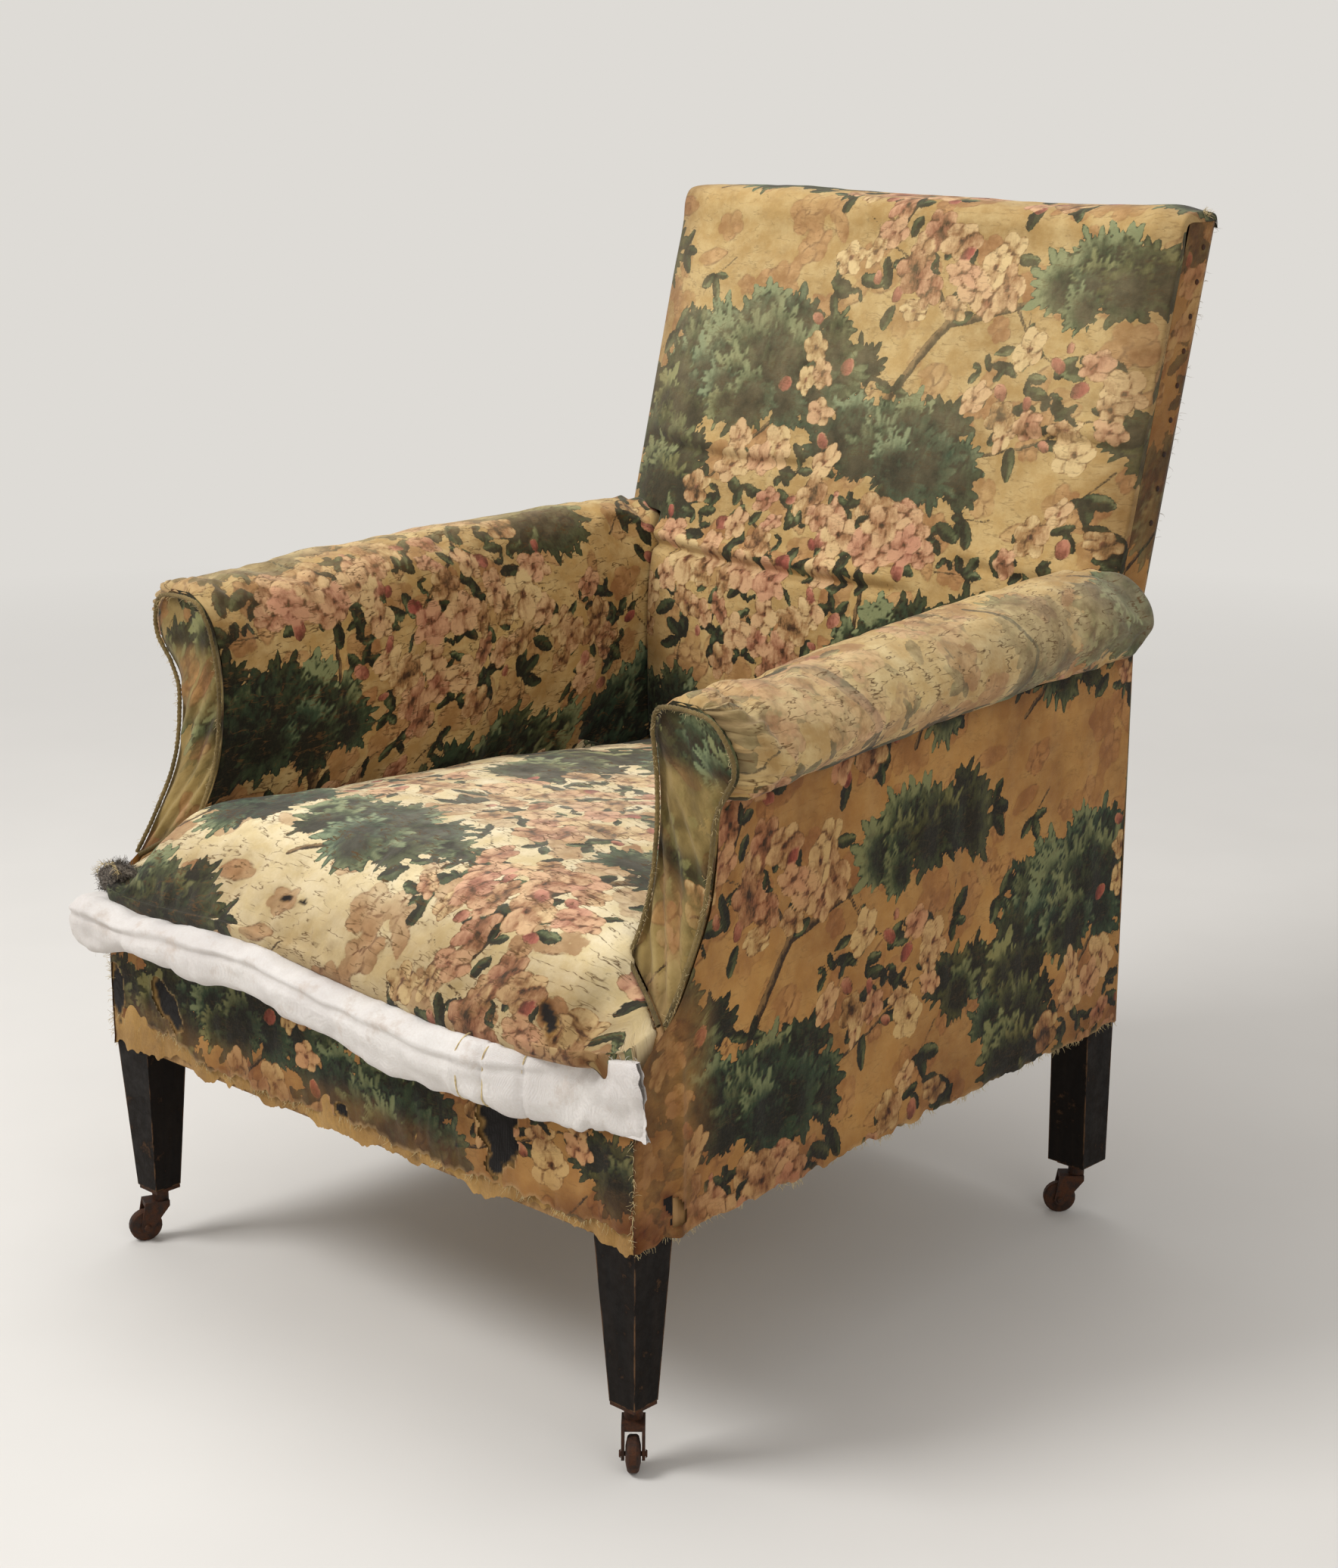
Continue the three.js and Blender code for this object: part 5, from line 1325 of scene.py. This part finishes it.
def calico_roll():
    """The white roll along the seat front: stuffed and wavy, with a flat torn flap at its right end."""
    left, right = ROLL_LOW.x + 0.006, ROLL_HIGH.x
    columns = count(right - left, 2.4 * MM)
    x = np.linspace(left, right, columns)
    share = (x - left) / (right - left)
    a = np.linspace(0, 2 * math.pi, 72)[:, None]
    cap = np.sqrt(np.clip(1 - (1 - np.clip((x - left) / 0.022, 0.0001, 1)) ** 2, 0, 1))
    plump = cap * (1 + 0.10 * hump(share, 0.07, 0.05))
    flat = smoothstep(0.76, 0.93, share)
    torn = smoothstep(0.84, 0.90, share) * (0.0040 * rough(x, x, 0.014, 96) + 0.0025)
    top, low = roll_top(x), roll_bottom(x) - 0.003 * smoothstep(0.1, 0.02, share)
    full = (0.044 + 0.005 * noise(x, x, 0.09, 90)) * mix(1, 0.10, flat)
    round_z = np.sign(np.sin(a)) * np.abs(np.sin(a)) ** 0.78
    round_y = np.sign(np.cos(a)) * np.abs(np.cos(a)) ** 0.85
    z = (top + low) / 2 + (top - low) / 2 * plump * round_z + torn * (np.sin(a) > 0.9)
    y = -0.0040 - full * plump.max() / 2 + full * plump / 2 * round_y * np.where(x > right - 0.003, 0.15, 1)
    points = np.stack([np.broadcast_to(x, z.shape), y, z], axis=2)
    around = run_lengths(points, 0)
    across = points[..., 0]
    outer = smoothstep(1.0, -0.4, np.cos(a))
    face = smoothstep(0.4, -0.3, np.cos(a)) * (1 - flat)
    creases = 0.0042 * rough(across, around, 0.050, 91) + 0.0024 * noise(across * 0.3, around, 0.014, 93)
    puckers = 0.0014 * (noise(across, around * 0.15, 0.010, 92) + noise(across, around * 0.3, 0.022, 95))
    seam = mix(low, top, 0.80) + 0.002 * noise(x, x, 0.04, 94)
    seam_shape = 0.0022 * hump(z, seam, 0.0026) - 0.0026 * hump(z, seam - 0.0045, 0.0030)
    ties = sum(hump(across, tie, 0.0022) for tie in TIES)
    lift = (creases + puckers * (1 - 0.6 * flat) - 0.0020 * ties) * outer + seam_shape * face
    points, lift, around, top, torn, torn_end = (
        grid[..., ::-1, :] if grid.ndim == 3 else grid[..., ::-1]
        for grid in (points, lift * cap, around, top, torn, smoothstep(0.95, 1.0, share))
    )
    points = push(points, lift)
    points[-1] = points[0]
    ceiling = np.where(points[..., 1] > -0.0300, top + 0.0006, top + 0.0035 + torn)
    points[..., 2] = np.minimum(points[..., 2], ceiling)
    points[..., 1] = np.minimum(points[..., 1], -0.0036)
    height = points[..., 2]
    points[..., 0] += torn_end * (0.0030 * rough(height, height, 0.012, 103) - 0.10 * (height - 0.316))
    cloth = np.stack([points[..., 0], around], axis=2)
    piece = cloth_piece("calico_roll", points, cloth, calico, "calico", "edge_roll", printed=False)
    for k, tie in enumerate(TIES):
        ring = points[4:68:4, np.argmin(np.abs(points[0, :, 0] - tie))]
        ring = mix(ring.mean(axis=0), ring, 1.06)
        ring[:, 0] += 0.004 * np.sin(np.linspace(0, 3, len(ring)) + k)
        twisted_cord(f"calico_tie_{k}", ring, 0.6 * MM, 3 * MM, thread, "calico")
    fray_edge("calico_fray", points[18, : columns // 8], (0.1, -0.2, 1), 0.007, 97, white_thread, "calico")
    ends = [[-0.330, -0.018, 0.294], [-0.318, -0.012, 0.291], [-0.300, -0.008, 0.296]]
    fray_edge("calico_end_fray", ends, (-0.2, -0.1, -1), 0.020, 104, white_thread, "calico", 0.6 * MM)


STRAND_KNOTS = 6
STRAND_SIDES = 3


def threads(name, roots, ways, length, radius, material, seed, slot="chintz"):
    """Short tapering strands that curl and droop from their roots."""
    dice = np.random.default_rng(seed)
    points, faces = [], []
    for root, way in zip(roots, ways):
        way = np.array(way, float) + dice.normal(0, 0.45, 3)
        way /= np.linalg.norm(way)
        size = length * dice.uniform(0.35, 1.0)
        bend = dice.normal(0, 0.7, 3)
        at = np.array(root, float)
        faces += ring_faces(len(points), STRAND_KNOTS - 1, STRAND_SIDES)
        for k in range(STRAND_KNOTS):
            slim = radius * (1 - 0.6 * k / (STRAND_KNOTS - 1))
            side = np.cross(way, [0.3, 0.2, 0.9])
            side /= np.linalg.norm(side)
            other = np.cross(way, side)
            for j in range(STRAND_SIDES):
                angle = 2 * math.pi * j / STRAND_SIDES
                points.append(at + slim * (math.cos(angle) * side + math.sin(angle) * other))
            at = at + way * size / STRAND_KNOTS
            way = way + bend * 0.28 + np.array([0, 0, -0.16])
            way /= np.linalg.norm(way)
    plain_piece(name, np.array(points), faces, material, slot)


def fray_edge(name, route, way, length, seed, material=None, slot="chintz", spacing=2.2 * MM):
    """Threads that leave an edge, in clumps along a route."""
    dice = np.random.default_rng(seed)
    route = np.asarray(route, float)
    along = run_lengths(route[:, None], 0)[:, 0]
    spots = np.sort(dice.uniform(0, along[-1], max(3, int(along[-1] / spacing))))
    spots = spots[noise(spots, spots, 0.025, seed) > -0.25]
    roots = np.stack([np.interp(spots, along, route[:, axis]) for axis in range(3)], axis=1)
    threads(name, roots, [way] * len(roots), length, 0.22 * MM, material or thread, seed, slot)


def corner_stuffing():
    """Dark fibre that shows where the cover has torn open at the seat's left front corner."""
    dice = np.random.default_rng(99)
    around, tall = 48, 30
    u, v = np.meshgrid(np.linspace(0, 2 * math.pi, around), np.linspace(-math.pi / 2, math.pi / 2, tall))
    swell = 1 + 0.22 * rough(u, v, 0.9, 98) * np.cos(v)
    swell[:, -1] = swell[:, 0]
    centre, size = (-0.311, -0.002, 0.350), (0.023, 0.011, 0.013)
    lump = np.stack([
        centre[0] + size[0] * swell * np.cos(v) * np.cos(u),
        centre[1] + size[1] * swell * np.cos(v) * np.sin(u),
        centre[2] + size[2] * swell * np.sin(v) + 0.25 * size[0] * np.cos(v) * np.cos(u),
    ], axis=2)
    plain_piece("stuffing_core", lump.reshape(-1, 3), grid_quads(tall, around), stuffing, "jute")
    picked = lump[dice.integers(4, tall - 1, 700), dice.integers(0, around, 700)]
    ways = picked - centre + [0, 0, 0.005]
    ways /= np.linalg.norm(ways, axis=1, keepdims=True)
    threads("corner_stuffing", picked, ways, 0.011, 0.26 * MM, stuffing, 100, "jute")
    rim = [[-0.336, -0.006, 0.350], [-0.322, -0.010, 0.362], [-0.300, -0.012, 0.369], [-0.284, -0.018, 0.362]]
    fray_edge("corner_fray", rim, (-0.5, -0.5, 0.3), 0.012, 101, spacing=0.9 * MM)


def seat_hessian():
    """The coarse cloth stretched over the springs, under the seat's stuffing."""
    low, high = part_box("seat_hessian")
    u, v = np.meshgrid(np.linspace(-1, 1, 60), np.linspace(0, 1, 60))
    y = mix(low.y, high.y, v) - FRONT
    half = np.minimum(high.x, half_width(y) - 0.030)
    edge = np.minimum(np.minimum((1 - np.abs(u)) * half, y - (low.y - FRONT)), (high.y - FRONT) - y)
    z = mix(low.z + 0.0012, high.z - 0.0004, smoothstep(0, 0.075, edge)) - 0.0006
    points = np.stack([u * half, y, z], axis=2)
    cloth = points[..., :2]
    piece = cloth_piece("hessian_cover", points, cloth, hessian, "jute", "seat_hessian", printed=False)


def dress(node, material, bevel=0.0, segments=2):
    """Gives a carried-over node its material, and eases its edges."""
    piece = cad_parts[node]
    piece.data.materials.clear()
    piece.data.materials.append(material)
    if bevel:
        ease = piece.modifiers.new("eased_edges", "BEVEL")
        ease.width = bevel
        ease.segments = segments
        ease.limit_method = "ANGLE"
        ease.angle_limit = math.radians(30)
        ease.harden_normals = False


def dress_frame():
    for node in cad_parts:
        if node.startswith(("front_leg", "back_post")):
            dress(node, dark_wood, 1.1 * MM, 3)
        elif node.startswith(("castor_axle", "castor_plate", "castor_horn", "castor_wheel")):
            dress(node, rusted_iron, 0.35 * MM)
        elif node.startswith("seat_spring"):
            dress(node, spring_steel)
        elif node == "seat_webbing":
            dress(node, jute)
        elif "rail" in node or node.startswith(("corner_block", "arm_post")):
            dress(node, frame_wood, 0.8 * MM)


def studio():
    """The floor, the backdrop and the lights."""
    floor_mesh = bpy.data.meshes.new("floor")
    size = 14.0
    corners = [(-size, -size, 0), (size, -size, 0), (size, size, 0), (-size, size, 0)]
    floor_mesh.from_pydata(corners, [], [(0, 1, 2, 3)])
    floor = bpy.data.objects.new("floor", floor_mesh)
    bpy.context.scene.collection.objects.link(floor)
    s = Shader("floor_paper", Specular_IOR_Level=0.1)
    s.finish(s.mix(s.ramp(s.noise(s.place(), 3, 3), 0.3, 0.7), "d8d5d0", "dcd9d4"), 0.9)
    away = s.add("ShaderNodeVectorMath", {0: s.place()}, operation="LENGTH").outputs["Value"]
    glow = s.add("ShaderNodeEmission", {"Color": "dedbd6", "Strength": 1.0})
    light = s.add("ShaderNodeLightPath").outputs
    seen = s.math("MAXIMUM", light["Is Camera Ray"], light["Is Glossy Ray"])
    far = s.times(s.ramp(away, 1.2, 3.4), seen)
    blend = s.add("ShaderNodeMixShader", {0: far, 1: s.bsdf.outputs[0], 2: glow.outputs[0]})
    s.tree.links.new(blend.outputs[0], s.tree.nodes["Material Output"].inputs["Surface"])
    floor_mesh.materials.append(s.material)

    world = bpy.data.worlds.new("studio")
    bpy.context.scene.world = world
    world.use_nodes = True
    tree = world.node_tree
    ambient = tree.nodes["Background"]
    ambient.inputs["Color"].default_value = (1.0, 0.98, 0.96, 1)
    ambient.inputs["Strength"].default_value = 0.50
    backdrop = tree.nodes.new("ShaderNodeBackground")
    backdrop.inputs["Color"].default_value = colour("dedbd6")
    path = tree.nodes.new("ShaderNodeLightPath")
    blend = tree.nodes.new("ShaderNodeMixShader")
    tree.links.new(path.outputs["Is Camera Ray"], blend.inputs[0])
    tree.links.new(ambient.outputs[0], blend.inputs[1])
    tree.links.new(backdrop.outputs[0], blend.inputs[2])
    tree.links.new(blend.outputs[0], tree.nodes["World Output"].inputs["Surface"])

    target = Vector((0, 0, 0.45))
    lamps = (
        ("key", (-1.3, -2.2, 3.0), 1.4, 84),
        ("top", (-0.6, 0.3, 3.4), 2.2, 34),
        ("fill", (2.8, -1.0, 1.6), 2.0, 18),
    )
    for name, where, size, power in lamps:
        data = bpy.data.lights.new(name, "AREA")
        data.size = size
        data.energy = power
        lamp = bpy.data.objects.new(name, data)
        lamp.location = where
        lamp.rotation_euler = (target - Vector(where)).to_track_quat("-Z", "Y").to_euler()
        bpy.context.scene.collection.objects.link(lamp)


def camera():
    """The photograph's view, fitted to the leg corners, the side and the top of the back."""
    yaw, pitch, roll = (math.radians(a) for a in (43.315, 15.26, 0.137))
    forward = Vector((-math.sin(yaw) * math.cos(pitch), math.cos(yaw) * math.cos(pitch), -math.sin(pitch)))
    right = Vector((math.cos(yaw), math.sin(yaw), 0))
    up = right.cross(forward)
    right, up = (
        right * math.cos(roll) + up * math.sin(roll),
        up * math.cos(roll) - right * math.sin(roll),
    )
    data = bpy.data.cameras.new("camera")
    data.lens = 64.07
    data.sensor_width = 36
    eye = bpy.data.objects.new("camera", data)
    axes = Matrix((right, up, -forward)).transposed().to_4x4()
    eye.matrix_world = Matrix.Translation((1.6677, -1.3875 + FRONT, 1.0830)) @ axes
    bpy.context.scene.collection.objects.link(eye)
    bpy.context.scene.camera = eye


camera()
studio()
dress_frame()
seat_hessian()
seat()
inside_back()
for name, side in SIDES:
    arm(name, side)
    facing(name, side)
    piping(name, side)
    outside_arm(name, side)
outside_back()
front_border()
calico_roll()
corner_stuffing()

bpy.context.scene.view_settings.view_transform = "Standard"
